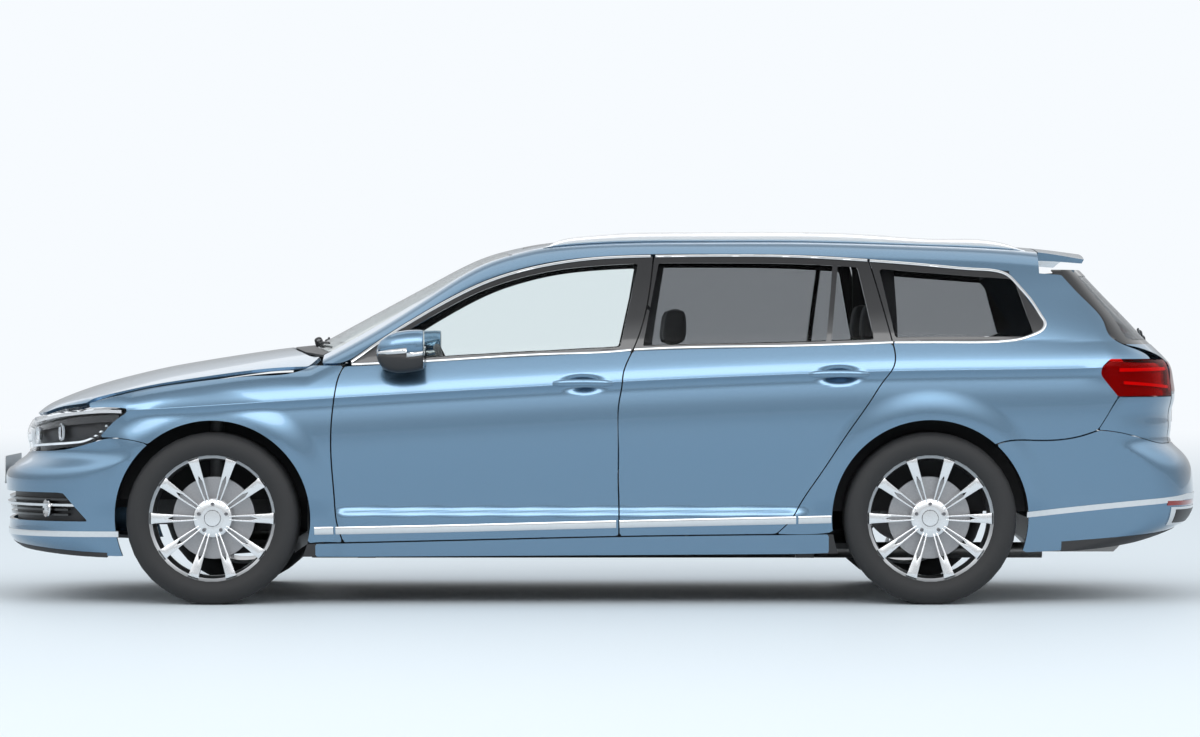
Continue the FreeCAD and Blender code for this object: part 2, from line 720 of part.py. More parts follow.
bonnet_zone = top_grid(lambda x: -bonnet_plan(x), bonnet_plan, lambda y: nose(y, COWL - 257) + 24 - GAP,
                       lambda y: bonnet_rear(y) + GAP, 11, 9, 1.6, 1.8)
UP = Vector(0, 0, 1)
bonnet_space = slab(grown(bonnet_zone, GAP + 4.5, 70, UP), grown(bonnet_zone, GAP + 4.5, -size("BonnetThickness") - 6, UP))
screen_top = lambda y: front(1100) + 60 * (y / 600) ** 2
windscreen = top_panel(lambda x: -screen_edge(x) + 2.6, lambda x: screen_edge(x) - 2.6,
                       screen_foot, screen_top, 7, 24, 7, 9)
cowl = top_panel(lambda x: -screen_edge(x) + 12, lambda x: screen_edge(x) - 12, lambda y: bonnet_rear(y) + 3 * GAP,
                 lambda y: screen_foot(y) - SEAM, 8, 0, 7, 3)
piece("windscreen", windscreen.cut(bonnet_space))
roof = top_panel(lambda x: -screen_edge(x) + 1.8, lambda x: screen_edge(x) - 1.8,
                 lambda y: screen_top(y) + SEAM, lambda y: rear(438), size("RoofThickness"), 50, 7, 13, 6)
SUNROOF = (front(1200), front(1960), 440)
sunroof_hole = box(SUNROOF[0], SUNROOF[1], -SUNROOF[2], SUNROOF[2], ROOF - 150, ROOF + 100)
roof = roof.cut(sunroof_hole)
piece("roof_panel", roof)
sunroof = top_panel(lambda x: -SUNROOF[2] + SEAM, lambda x: SUNROOF[2] - SEAM, lambda y: SUNROOF[0] + SEAM,
                    lambda y: SUNROOF[1] - SEAM, 6, 0, 5, 6)
piece("sunroof_glass", sunroof)

# Nose and tail pieces lie on rays that fan out from a point inside the body.
NOSE_HEART = front(-200)
TAIL_HEART = rear(210)


def ray_point(heart, toward, angle, z, depth=0.0):
    """Skin point on a level ray, angle degrees off the car's axis to the left, depth inside the skin."""
    cosine = toward * math.cos(math.radians(angle))
    sine = -math.sin(math.radians(angle))
    low, high = 0.0, 1400.0
    for _ in range(22):
        middle = (low + high) / 2
        if outside(heart + middle * cosine, middle * sine, z) > 0:
            high = middle
        else:
            low = middle
    reach = low - depth
    return Vector(heart + reach * cosine, reach * sine, z)


def fan_grid(heart, toward, ends, low, high, across=20, count=12, depth=0.0):
    """Skin points between two angles; low and high give the heights at an angle."""
    grid = []
    for angle in steps(ends[0], ends[1], across):
        heights = steps(low(angle), high(angle), count)
        grid.append([ray_point(heart, toward, angle, z, depth) for z in heights])
    return grid


def fan_wall(heart, toward, ends, low, high, depth, across=20, count=12, start=0.0):
    outer = fan_grid(heart, toward, ends, low, high, across, count, start)
    inner = fan_grid(heart, toward, ends, low, high, across, count, start + depth)
    return slab(outer, inner)


def even(line):
    """The same line for both sides of the car."""
    return lambda angle: line(abs(angle))


bumper_rim = fair([(0, 570), (20, 572), (38, 582), (52, 592), (66, 606), (73, 632), (78, 652), (88, 690)])
bumper_foot = fair([(0, 226), (30, 222), (55, 206), (70, 192), (88, 184)])
lamp_foot = fair([(38, 588), (52, 598), (66, 610), (71, 624), (75, 664), (78, 708), (80, 738)])
lamp_head = fair([(38, 712), (52, 729), (62, 748), (71, 760), (77, 763), (80, 760)])
def lamp_pocket():
    """Room for the headlamp in the wing, seen from the side."""
    places = [ray_point(NOSE_HEART, -1, angle, lamp_head(angle) + 7) for angle in steps(60, 80, 6)]
    lower = [ray_point(NOSE_HEART, -1, angle, lamp_foot(angle) - 6) for angle in steps(80, 66, 6)]
    head_run = [(p.x, p.z) for p in places]
    foot_run = [(p.x, p.z) for p in lower]
    tip = (head_run[-1][0] + 6, (head_run[-1][1] + foot_run[0][1]) / 2)
    return side_prism([head_run, [head_run[-1], tip], [tip, foot_run[0]], foot_run, [foot_run[-1], head_run[0]]])


def bumper_head(angle):
    """Top edge of the front bumper: under the grille and lamps, then under the wing."""
    beside = wing_foot(ray_point(NOSE_HEART, -1, angle, CREASE - 215).x) - 3
    return -blend_max(-bumper_rim(angle), -beside, 6)


door_edge = up(push(front_shut, -GAP), steps(SILL + 20, COWL, 24))
door_space = side_block(door_edge + [(front(700), COWL), (front(700), SILL + 20)])
wing_left = wing().cut(lamp_pocket()).cut(door_space).cut(bonnet_space)
wing_left = wing_left.cut(bonnet_space.translated(Vector(0, 0, -10)))
piece("wing_left", wing_left)
piece("wing_right", mirrored(wing_left))
front_bumper = fan_wall(NOSE_HEART, -1, (-88, 88), even(bumper_foot), even(bumper_head), 24, 21, 10)
front_bumper = front_bumper.cut(both_sides(arch(FRONT_AXLE, size_front_arch)))
INTAKE = (318, 410, 760)


def nose_opening(half_width, low, high, slope):
    """Front-view opening right through the nose, its ends sloping in towards the foot."""
    ring = [Vector(-3000, -half_width, high), Vector(-3000, half_width, high),
            Vector(-3000, half_width - slope, low), Vector(-3000, -half_width + slope, low)]
    return Part.Face(Part.makePolygon(ring + [ring[0]])).extrude(Vector(3000 + NOSE_HEART - 330, 0, 0))


front_bumper = front_bumper.cut(nose_opening(INTAKE[2], INTAKE[0], INTAKE[1], 40))
front_bumper = front_bumper.cut(Part.makeCylinder(32, 400, Vector(front(-900), 430, 485), Vector(1, 0, 0)))
piece("front_bumper", front_bumper)
lamp_grid = fan_grid(NOSE_HEART, -1, (38, 80), push(lamp_foot, GAP / 2), lamp_head, 9, 4)
lamp_back = fan_grid(NOSE_HEART, -1, (38, 80), push(lamp_foot, GAP / 2), push(lamp_head, -12), 9, 4, 70)
lamp = slab(lamp_grid, lamp_back).cut(bonnet_space)
piece("headlamps", both_sides(lamp))


def blades(count, low, high, half_angle, thickness, depth, inset):
    """Level grille blades that follow the nose."""
    pitch = (high - low) / count
    made = []
    for i in range(count):
        middle = low + (i + 0.5) * pitch
        made.append(fan_wall(NOSE_HEART, -1, (-half_angle, half_angle), lambda a: middle - thickness / 2,
                             lambda a: middle + thickness / 2, depth, 5, 2, inset))
    return made


GRILLE = (574, 712, 37.2)
backing = fan_wall(NOSE_HEART, -1, (-GRILLE[2], GRILLE[2]), lambda a: GRILLE[0], lambda a: GRILLE[1], 10, 6, 4, 34)
grille = backing.multiFuse(blades(5, GRILLE[0], GRILLE[1], GRILLE[2], 13, 34, 2))
piece("grille", grille.cut(bonnet_space))
intake_back = fan_wall(NOSE_HEART, -1, (-52, 52), lambda a: INTAKE[0] - 10, lambda a: INTAKE[1] + 10, 8, 7, 3, 40)
intake = intake_back.multiFuse(blades(4, INTAKE[0], INTAKE[1], 50, 9, 28, 14))
piece("intake_grille", intake)

# Tail.
rear_foot = fair([(0, 262), (25, 256), (45, 240), (60, 222), (75, 205), (95, 198)])
TAILGATE_ANGLE = 39.0


def rear_head(angle):
    """Top edge of the rear bumper: level behind, rising to the corner, then under the rear wing."""
    beside = quarter_foot(ray_point(TAIL_HEART, 1, angle, CREASE - 215).x) - 8
    return min(622 + 54 * ramp(angle, 44, 63), beside)


def corner_head(angle):
    return -blend_max(-806, -806 + 28.5 * (angle - 58.4), 6)


def tail_lamp_foot(angle):
    return blend_max(810, 810 + 24 * (angle - 58.5), 8)


def tail_lamp_head(angle):
    return -blend_max(-951, -951 + 15.5 * (angle - 60), 8)


def corner_slab(end, low, high, depth):
    """Piece round the rear corner, its walls turning from the ray at the tailgate to straight in."""
    outer = fan_grid(TAIL_HEART, 1, (TAILGATE_ANGLE + 0.4, end), low, high, 7, 4)
    inner = []
    for i, row in enumerate(outer):
        turn = math.radians(TAILGATE_ANGLE + (90 - TAILGATE_ANGLE) * i / (len(outer) - 1))
        inner.append([p + Vector(-math.cos(turn), math.sin(turn), 0) * depth for p in row])
    return slab(outer, inner)


rear_bumper = fan_wall(TAIL_HEART, 1, (-95, 95), even(rear_foot), even(rear_head), 28, 23, 9)
rear_bumper = rear_bumper.cut(both_sides(arch(REAR_AXLE, size_rear_arch)))
corner = corner_slab(63, lambda angle: rear_head(angle) + SEAM, corner_head, 28)
piece("rear_bumper", Part.makeCompound([rear_bumper, corner, mirrored(corner)]))
tail_lamp = corner_slab(61.8, tail_lamp_foot, tail_lamp_head, 55)


def tailgate_half(z):
    """Half-width of the tailgate: between the lamps, then along the rear pillars."""
    if z > SILL + 825:
        return skin_y(rear_edge(z), z) - GAP
    return lower_half(z)


pillar_foot = SILL + 826
def beside_lamp(z):
    """Half-width of the tailgate where it meets the corner pieces and the lamps."""
    return -ray_point(TAIL_HEART, 1, TAILGATE_ANGLE, z).y - GAP


lower_half = fair([(z, beside_lamp(z)) for z in (620, 700, 800, 880, 950)] + [
    (pillar_foot, skin_y(rear_edge(pillar_foot), pillar_foot) - GAP),
])
TAILGATE_FOOT = 628
GLASS_FOOT = 1030
GLASS_HEAD = 1282
glass_half = lambda z: tailgate_half(z) - 42


tailgate_rows = [TAILGATE_FOOT, 690, 750, 790, 830, 880, 953, 985, 1015, 1060, 1120, 1180, 1240, 1300]
tailgate_grid = end_grid(1, tailgate_half, tailgate_rows, 13)
tailgate_inner = [[Vector(p.x - size("TailgateThickness"), p.y * 0.9, p.z) for p in row] for row in tailgate_grid]
tailgate_shell = slab(tailgate_grid, tailgate_inner)
BACK = Vector(1, 0, 0)
tailgate_space = slab(grown(tailgate_grid, GAP, 60, BACK), grown(tailgate_inner, GAP, -8, BACK))
quarter = quarter.cut(tailgate_space)
piece("tail_lamps", both_sides(tail_lamp.cut(tailgate_space)))
piece("quarter_panel_left", quarter)
piece("quarter_panel_right", mirrored(quarter))
spoiler_space = box(rear(438) - 1, rear(700), -screen_edge(rear(500)), screen_edge(rear(500)), 1280, ROOF)
roof_side_left = roof_side().cut(tailgate_space).cut(bonnet_space).cut(spoiler_space)
piece("roof_side_left", roof_side_left)
piece("roof_side_right", mirrored(roof_side_left))
glass_rows = steps(GLASS_FOOT, GLASS_HEAD, 5)
hole_grid = end_grid(1, glass_half, glass_rows, 9, -60)
tailgate_hole = slab(hole_grid, [[Vector(p.x - 260, p.y, p.z) for p in row] for row in hole_grid])
roof_end = box(rear(200), rear(438) + GAP, -720, 720, 1280, ROOF)
tailgate_shell = tailgate_shell.cut(tailgate_hole.fuse(roof_end))
spoiler_half = lambda x: screen_edge(x) - GAP - 1
spoiler_grid = []
for u in steps(-1.0, 1.0, 9):
    row = []
    for x in steps(rear(438) + GAP, rear(644), 6):
        y = spoiler_half(x) * u
        row.append(Vector(x - 18 * ramp(x, rear(438), rear(644)) * (y / 600) ** 2, y, top(x, y)))
    spoiler_grid.append(row)
spoiler_under = [[Vector(p.x - 2 * k, p.y, p.z - 34 + 4 * k) for k, p in enumerate(row)]
                 for row in spoiler_grid]
spoiler = slab(spoiler_grid, spoiler_under)
header = box(rear(450), rear(560), -520, 520, 1288, 1368)
tailgate = tailgate_shell.multiFuse([spoiler, header])
piece("tailgate", tailgate)
pane_rows = steps(GLASS_FOOT + SEAM, GLASS_HEAD - SEAM, 5)
pane_grid = end_grid(1, lambda z: glass_half(z) - SEAM, pane_rows, 9, 3)
rear_pane = slab(pane_grid, shifted(pane_grid, Vector(-size("GlassThickness"), 0, 0)))
piece("tailgate_glass", rear_pane)

# Structure under the skin.
SILL_INNER = 690
JACK_PAD = SILL - 6


def sill():
    outline_low = lambda x: SILL + 2 + (x - front(395)) * 0.006
    grid = side_grid(lambda z: front(340), lambda z: rear(-340), outline_low, push(door_bottom, -GAP), 6, 4)
    outer = side_wall(grid, 130).cut(arch(FRONT_AXLE, size_front_arch)).cut(arch(REAR_AXLE, size_rear_arch))
    core = box(front(430), rear(-402), -805, -SILL_INNER, SILL + 16, 330)
    hinge_post = box(front(430), front(520), -795, -730, SILL + 20, COWL - 96)
    parts = [core, hinge_post]
    parts.append(post(x_low=front(1600), x_high=front(1650), width=110, foot=SILL + 40))
    for x in (front(560), rear(-520)):
        parts.append(box(x, x + 70, -790, -720, JACK_PAD, SILL + 20))
    return outer.multiFuse(parts)


def post(x_low, x_high, width, foot):
    """Door post: upright to the belt, then leaning in with the side glass."""
    rings = []
    for z, x in ((foot, x_low), (BELT - 60, x_low), (BELT + 20, x_low), (BELT + 120, x_low + (x_high - x_low) * 0.3),
                 (BELT + 240, x_low + (x_high - x_low) * 0.7), (ROOF - 112, x_high)):
        y = -min(802.0, side(x_low, max(z, BELT)) - FRAME_WALL - 12)
        rings.append(Part.makePolygon([Vector(x, y, z), Vector(x + width, y, z), Vector(x + width, y + 46, z),
                                       Vector(x, y + 46, z), Vector(x, y, z)]))
    return Part.makeLoft(rings, True, True)


sill_left = sill()
piece("side_frame_left", sill_left)
piece("side_frame_right", mirrored(sill_left))
FLOOR = SILL + 22
floor_plate = box(front(430), rear(-420), -SILL_INNER + SEAM, SILL_INNER - SEAM, FLOOR, FLOOR + 22)
tunnel = box(front(430), rear(-822), -130, 130, FLOOR + 20, FLOOR + 120)
HOUSE_INNER = 640
LOAD_HALF = HOUSE_INNER - 8 - SEAM
floor_rear = box(rear(-430), rear(-225), -LOAD_HALF, LOAD_HALF, FLOOR, FLOOR + 22)
step_up = box(rear(-250), rear(-225), -LOAD_HALF, LOAD_HALF, FLOOR, 500)
load_floor = box(rear(-250), rear(900), -LOAD_HALF, LOAD_HALF, 478, 500)
heel = box(rear(875), rear(900), -560, 560, 478, 600)
floor_pan = floor_plate.multiFuse([floor_rear, tunnel, step_up, load_floor, heel])
piece("floor_pan", floor_pan)


def wheelhouse(axle, radius, y_outer, y_inner, low):
    """Half-round liner over a wheel, closed on its inner side."""
    shell = arch(axle, radius + 10, y_outer).cut(arch(axle, radius, y_outer + 10))
    inner_wall = Part.makeCylinder(radius + 10, 8, Vector(axle, -y_inner, AXLE_HEIGHT), Vector(0, 1, 0))
    shell = shell.fuse(inner_wall)
    return shell.common(box(axle - 600, axle + 600, -y_outer, -y_inner + 8, low, 1200))


rear_house = wheelhouse(REAR_AXLE, size_rear_arch + 6, 822, HOUSE_INNER, AXLE_HEIGHT + 20)
front_house = wheelhouse(FRONT_AXLE, size_front_arch + 24, 822, 478, AXLE_HEIGHT + 60)
rear_house = rear_house.fuse(post(rear(-212), rear(-222), 90, AXLE_HEIGHT + size_rear_arch - 18))
piece("rear_wheelhouses", both_sides(rear_house))
piece("front_wheelhouses", both_sides(front_house))
bulkhead = box(front(424), front(430), -728, 728, FLOOR, COWL - 70)
bulkhead = bulkhead.multiFuse([box(front(300), front(424), -640, 640, COWL - 130, COWL - 70), cowl,
                               box(front(388), front(424), -520, 520, COWL - 72, COWL - 30)]).cut(bonnet_space)
piece("bulkhead", bulkhead)
rail = box(front(-700), front(424), -470, -400, 440, 520)
rails = [rail, mirrored(rail), box(front(-730), front(-700), -560, 560, 430, 540)]
TOW_EYE = (430.0, 485.0, 8.0)
tow_socket = Part.makeCylinder(TOW_EYE[2], 200, Vector(front(-900), TOW_EYE[0], TOW_EYE[1]), Vector(1, 0, 0))
piece("front_frame", rails[2].multiFuse(rails[:2]).cut(tow_socket))

# Running gear.
engine = doc.addObject("Part::Box", "engine_block")
engine.Label = "engine_block"
engine.setExpression("Length", "Sizes.EngineLength")
engine.setExpression("Width", "Sizes.EngineWidth")
engine.setExpression("Height", "Sizes.EngineHeight")
engine.Placement.Base = Vector(front(-330), -320, 290)


def wheel_profile(points):
    ring = [Vector(0, y, r) for r, y in points]
    return Part.Face(Part.makePolygon(ring + [ring[0]])).revolve(Vector(0, 0, 0), Vector(0, 1, 0), 360)


RIM = size("RimRadius")
BARREL = size("RimBarrel")
HALF_TYRE = size("TyreWidth") / 2
FLANGE = HALF_TYRE - 13


def rim():
    """Rim barrel, hub and ten forked spokes, the outer face towards -Y."""
    barrel = wheel_profile([
        (BARREL, -FLANGE + 8), (RIM, -FLANGE - 6), (BARREL + 6, -FLANGE + 12),
        (BARREL + 6, FLANGE - 12), (RIM, FLANGE + 6), (BARREL, FLANGE - 8),
    ])
    hub = wheel_profile([(0, -80), (34, -80), (size("HubRadius"), -70), (size("HubRadius"), -34), (0, -34)])
    disc = wheel_profile([(0, -36), (84, -36), (84, -8), (size("DiscRadius"), -8), (size("DiscRadius"), 16), (0, 16)])
    spokes = []
    count = int(size("SpokeCount"))
    for i in range(count):
        for sign in (-1, 1):
            spokes.append(spoke(90 + i * 360 / count, sign))
    return barrel.multiFuse([hub, disc] + spokes)


def spoke(angle, sign):
    """One leg of a fork, from its tip at the rim to the hub."""
    middle = math.radians(angle)
    width = size("SpokeWidth") / 2
    corners = []
    for radius, swing, face, deep in ((BARREL + 3, 1.9, -FLANGE + 4, 24), (size("HubRadius") - 8, 7.4, -78, 40)):
        turn = middle + sign * math.radians(swing)
        ring = []
        for across, y in ((-width, face), (width, face), (width - 3, face + deep), (-width + 3, face + deep)):
            ring.append(Vector(radius * math.cos(turn) - across * math.sin(turn), y,
                               radius * math.sin(turn) + across * math.cos(turn)))
        corners.append(Part.makePolygon(ring + [ring[0]]))
    return Part.makeLoft(corners, True, True)


def tyre():
    tread = size("TyreRadius")
    half = [(BARREL + 6.4, -FLANGE + 13), (RIM + 2, -FLANGE + 3), (RIM + 30, -HALF_TYRE), (tread, -HALF_TYRE + 22)]
    return wheel_profile(half + [(r, -y) for r, y in reversed(half)])


rim_solid = rim()
tyre_solid = tyre()
WHEELS = {
    "front_left": (FRONT_AXLE, -size("TrackFront") / 2), "front_right": (FRONT_AXLE, size("TrackFront") / 2),
    "rear_left": (REAR_AXLE, -size("TrackRear") / 2), "rear_right": (REAR_AXLE, size("TrackRear") / 2),
}
for name, (x, y) in WHEELS.items():
    for kind, shape in (("rim_", rim_solid), ("tyre_", tyre_solid)):
        piece(kind + name, shape if y < 0 else mirrored(shape), Vector(x, y, AXLE_HEIGHT))

KINGPIN_Y = size("TrackFront") / 2 - 80


def knuckle():
    """Hub carrier with its axle stub, steering arm and strut."""
    y = -size("TrackFront") / 2
    stub = Part.makeCylinder(48, 90, Vector(FRONT_AXLE, y + 16.3, AXLE_HEIGHT), Vector(0, 1, 0))
    carrier = box(FRONT_AXLE - 45, FRONT_AXLE + 45, -KINGPIN_Y - 22, -KINGPIN_Y + 30, 212.3, 470)
    strut = Part.makeCylinder(27, 300, Vector(FRONT_AXLE, -KINGPIN_Y + 74, 420))
    clamp = box(FRONT_AXLE - 30, FRONT_AXLE + 30, -KINGPIN_Y + 20, -KINGPIN_Y + 80, 420, 470)
    arm = box(FRONT_AXLE + 20, FRONT_AXLE + 130, -KINGPIN_Y + 10, -KINGPIN_Y + 34, 290, 316)
    return carrier.multiFuse([stub, strut, clamp, arm])


knuckle_left = knuckle()
piece("knuckle_left", knuckle_left)
piece("knuckle_right", mirrored(knuckle_left))


def lower_arm():
    ring = [Vector(FRONT_AXLE - 34, -KINGPIN_Y - 10, 188), Vector(FRONT_AXLE + 34, -KINGPIN_Y - 10, 188),
            Vector(FRONT_AXLE + 260, -380, 188), Vector(FRONT_AXLE - 60, -380, 188)]
    arm = Part.Face(Part.makePolygon(ring + [ring[0]])).extrude(Vector(0, 0, 24))
    return arm


subframe = box(FRONT_AXLE - 90, FRONT_AXLE + 290, -400, 400, 180, 232)
legs = [box(FRONT_AXLE + 230, FRONT_AXLE + 290, y, y + 60, 225, 440.0 - SEAM) for y in (-460 + 0, 400)]
pads = [box(FRONT_AXLE + 230, FRONT_AXLE + 290, -460, 460, 190, 228)]
subframe = subframe.multiFuse([lower_arm(), mirrored(lower_arm())] + legs + pads)
piece("front_subframe", subframe)

hub_y = size("TrackRear") / 2
rear_stub = Part.makeCylinder(46, 120, Vector(REAR_AXLE, -hub_y + 16.3, AXLE_HEIGHT), Vector(0, 1, 0))
rear_carrier = box(REAR_AXLE - 50, REAR_AXLE + 50, -hub_y + 100, -hub_y + 139, 240, 440)
rear_beam = box(REAR_AXLE - 110, REAR_AXLE + 60, -520, 520, 280, 340)
rear_link = box(REAR_AXLE - 40, REAR_AXLE + 40, -hub_y + 120, -500, 290, 330)
rear_tower = box(REAR_AXLE - 90, REAR_AXLE - 30, -460, -400, 330, 478 - SEAM)
half_axle = [rear_stub, rear_carrier, rear_link, rear_tower]
rear_axle = rear_beam.multiFuse(half_axle + [mirrored(s) for s in half_axle])
piece("rear_axle", rear_axle)

pipe_radius = size("ExhaustRadius")
pipe = Part.makeCylinder(pipe_radius, rear(520) - front(330), Vector(front(330), 60, FLOOR - 36), Vector(1, 0, 0))
silencer = box(rear(430), rear(800), -430, 430, FLOOR - 20, FLOOR + 150)
silencer = silencer.makeChamfer(40, [e for e in silencer.Edges if abs(e.Length - 860) < 1])
tip_left = box(rear(790), rear(905), -400, -330, FLOOR + 90, FLOOR + 140)
exhaust = silencer.multiFuse([pipe, tip_left, mirrored(tip_left), box(rear(600), rear(640), -20, 20, FLOOR + 140, 478 - SEAM)])
piece("exhaust", exhaust)

# Cabin.
dash = box(front(430.4), front(760), -725, 725, 620, COWL - 110)
dash = dash.makeChamfer(40, [e for e in dash.Edges if abs(e.Length - 1450) < 1 and e.CenterOfMass.x > front(600)])
console = box(front(560), front(1500), -105, 105, FLOOR + 120 + SEAM, 560)
stack = box(front(560), front(780), -150, 150, 500, 640)
WHEEL_CENTRE = Vector(front(930), -370, 830)
WHEEL_AXIS = Vector(math.cos(math.radians(24)), 0, math.sin(math.radians(24)))
shroud = Part.makeCylinder(30, 100, WHEEL_CENTRE - WHEEL_AXIS * 250.3, WHEEL_AXIS)
dashboard = dash.multiFuse([console, stack, shroud])
piece("dashboard", dashboard)


def seat(x, half_width, lift):
    """Cushion, backrest and headrest as one closed form, drawn from the side."""
    cushion = box(x - 300, x + 230, -half_width, half_width, lift + 60, lift + 200)
    cushion = cushion.makeChamfer(35, [e for e in cushion.Edges if e.Length > 2 * half_width - 1])
    ring = [Vector(x + 130, -half_width, lift + 130), Vector(x + 260, -half_width, lift + 130),
            Vector(x + 420, -half_width, lift + 720), Vector(x + 320, -half_width, lift + 730)]
    back = Part.Face(Part.makePolygon(ring + [ring[0]])).extrude(Vector(0, 2 * half_width, 0))
    back = back.makeChamfer(28, [e for e in back.Edges if e.Length > 500])
    head = box(x + 330, x + 430, -125, 125, lift + 745, lift + 900)
    head = head.makeChamfer(25, [e for e in head.Edges if e.Length > 149])
    stems = [Part.makeCylinder(7, 80, Vector(x + 375, y, lift + 690)) for y in (-55, 55)]
    base = box(x - 240, x + 200, -half_width + 60, half_width - 60, FLOOR + 22 + SEAM, lift + 90)
    return cushion.multiFuse([back, head, base] + stems)


seat_half = size("SeatWidth") / 2
front_seat = seat(front(1420), seat_half, 260).translated(Vector(0, -370, 0))
piece("front_seats", both_sides(front_seat))
bench = seat(rear(-580), 590, 280)
piece("rear_seat", bench)

ring_radius = size("SteeringWheelRadius")
grip = []
for turn in range(0, 361, 60):
    c, s = 15 * math.cos(math.radians(turn)), 15 * math.sin(math.radians(turn))
    grip.append(WHEEL_CENTRE + Vector(0, ring_radius + c, 0) + WHEEL_AXIS * s)
steering = Part.Face(Part.makePolygon(grip)).revolve(WHEEL_CENTRE, WHEEL_AXIS, 360)
hub = Part.makeCylinder(58, 60, WHEEL_CENTRE - WHEEL_AXIS * 50, WHEEL_AXIS)
column = Part.makeCylinder(22, 120, WHEEL_CENTRE - WHEEL_AXIS * 150, WHEEL_AXIS)
arms = [Part.makeCylinder(13, ring_radius, WHEEL_CENTRE - WHEEL_AXIS * 12, d) for d in (Vector(0, 1, 0), Vector(0, -1, 0))]
steering = steering.multiFuse([hub, column] + arms)
piece("steering_wheel", steering)

rail_top = fair([
    (front(1279), ROOF - 56), (front(1335), ROOF - 23), (front(1433), ROOF - 3), (front(1564), ROOF + 8),
    (front(1793), ROOF + 14), (rear(-735), ROOF + 15), (rear(-220), ROOF + 5), (rear(62), ROOF - 12),
    (rear(342), ROOF - 40), (rear(396), ROOF - 64),
])


def roof_rail():
    tops = []
    feet = []
    for x in steps(front(1282), rear(394), 11):
        tops.append([Vector(x, y, rail_top(x)) for y in (-584, -578, -568, -562)])
        feet.append([Vector(x, y, min(top(x, y) + SEAM, rail_top(x) - 1)) for y in (-590, -580, -566, -556)])
    return slab(tops, feet)


piece("roof_rails", both_sides(roof_rail().cut(roof)))

doc.recompute()
os.makedirs("parts", exist_ok=True)
bad = []
for item in doc.Objects:
    if item.TypeId.startswith("Part::"):
        if item.Shape.isNull() or not item.Shape.isValid() or "Invalid" in item.State or "Error" in item.State:
            bad.append(item.Label)
        print(item.Label, item.Shape.isValid(), round(item.Shape.Volume / 1e6, 2), len(item.Shape.Solids))
        item.Shape.exportStep("parts/" + item.Label + ".step")
print("BAD", bad)
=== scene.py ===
"""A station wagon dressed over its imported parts: painted skin, glass, lamps, trims, wheels and seats.

X runs from the nose to the tail, Y to the right-hand side, Z up. Lines of the body are written in
millimetres, as its drawings are; meshes are made in metres.
"""
import math
import bmesh
import bpy
import numpy as np
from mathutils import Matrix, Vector


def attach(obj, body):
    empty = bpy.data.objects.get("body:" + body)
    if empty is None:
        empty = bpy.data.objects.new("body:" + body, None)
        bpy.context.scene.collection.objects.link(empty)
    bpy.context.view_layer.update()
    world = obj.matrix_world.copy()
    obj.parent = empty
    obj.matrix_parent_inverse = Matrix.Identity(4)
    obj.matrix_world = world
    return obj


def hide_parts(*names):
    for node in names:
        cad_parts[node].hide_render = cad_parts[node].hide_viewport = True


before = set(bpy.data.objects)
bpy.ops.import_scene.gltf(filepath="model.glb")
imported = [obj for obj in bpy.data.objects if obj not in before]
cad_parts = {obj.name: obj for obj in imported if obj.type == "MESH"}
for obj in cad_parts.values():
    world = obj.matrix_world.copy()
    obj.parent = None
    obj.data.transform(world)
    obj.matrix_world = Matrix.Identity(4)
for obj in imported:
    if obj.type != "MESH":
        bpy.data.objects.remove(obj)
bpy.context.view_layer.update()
MM = 0.001

LENGTH = 4767.0
HALF_WIDTH = 916.0
ROOF = 1440.0
COWL = 993.0
CREASE = 860.0
BELT = 1000.0
SILL = 184.0
GAP = 5.5
NOSE = -LENGTH / 2
FRONT_AXLE = NOSE + 882
REAR_AXLE = FRONT_AXLE + 2791
AXLE_HEIGHT = 335.3
FRONT_ARCH, REAR_ARCH = 381.0, 383.0
ROOF_HALF_WIDTH = 597.0
HANDS = (("left", -1.0), ("right", 1.0))


def front(offset):
    """A place along the car, measured from the front axle."""
    return FRONT_AXLE + offset


def rear(offset):
    """A place along the car, measured from the rear axle."""
    return REAR_AXLE + offset


def fair(points):
    """A natural cubic spline through (place, value) points, straight beyond its ends."""
    places, values = np.array(points, float).T
    count = len(places)
    gap = np.diff(places)
    rise = np.diff(values) / gap
    system = np.zeros((count, count))
    system[0, 0] = system[-1, -1] = 1
    goal = np.zeros(count)
    for i in range(1, count - 1):
        system[i, i - 1:i + 2] = gap[i - 1], 2 * (gap[i - 1] + gap[i]), gap[i]
        goal[i] = 6 * (rise[i] - rise[i - 1])
    bend = np.linalg.solve(system, goal)
    first = rise[0] - gap[0] * bend[1] / 6
    final = rise[-1] + gap[-1] * bend[-2] / 6

    def value(place):
        place = np.asarray(place, float)
        held = np.clip(place, places[0], places[-1])
        i = np.clip(np.searchsorted(places, held, side="right") - 1, 0, count - 2)
        b = (held - places[i]) / gap[i]
        a = 1 - b
        sway = (a ** 3 - a) * bend[i] + (b ** 3 - b) * bend[i + 1]
        inside = a * values[i] + b * values[i + 1] + sway * gap[i] ** 2 / 6
        return inside + np.minimum(place - places[0], 0) * first + np.maximum(place - places[-1], 0) * final

    return value


def blend_max(a, b, reach):
    """The larger of two values, rounded where they are closer than reach."""
    near = np.maximum(reach - np.abs(a - b), 0.0) / reach
    return np.maximum(a, b) + near * near * reach / 4


def ramp(value, low, high):
    """Smooth rise from 0 at low to 1 at high."""
    t = np.clip((value - low) / (high - low), 0.0, 1.0)
    return t * t * (3 - 2 * t)


def push(line, shift):
    """The same line moved along by a shift."""
    return lambda place: line(place) + shift


def slanted(foot, head):
    """Place over height on a straight line between two (x, z) points."""
    return lambda z: foot[0] + (head[0] - foot[0]) * (z - foot[1]) / (head[1] - foot[1])


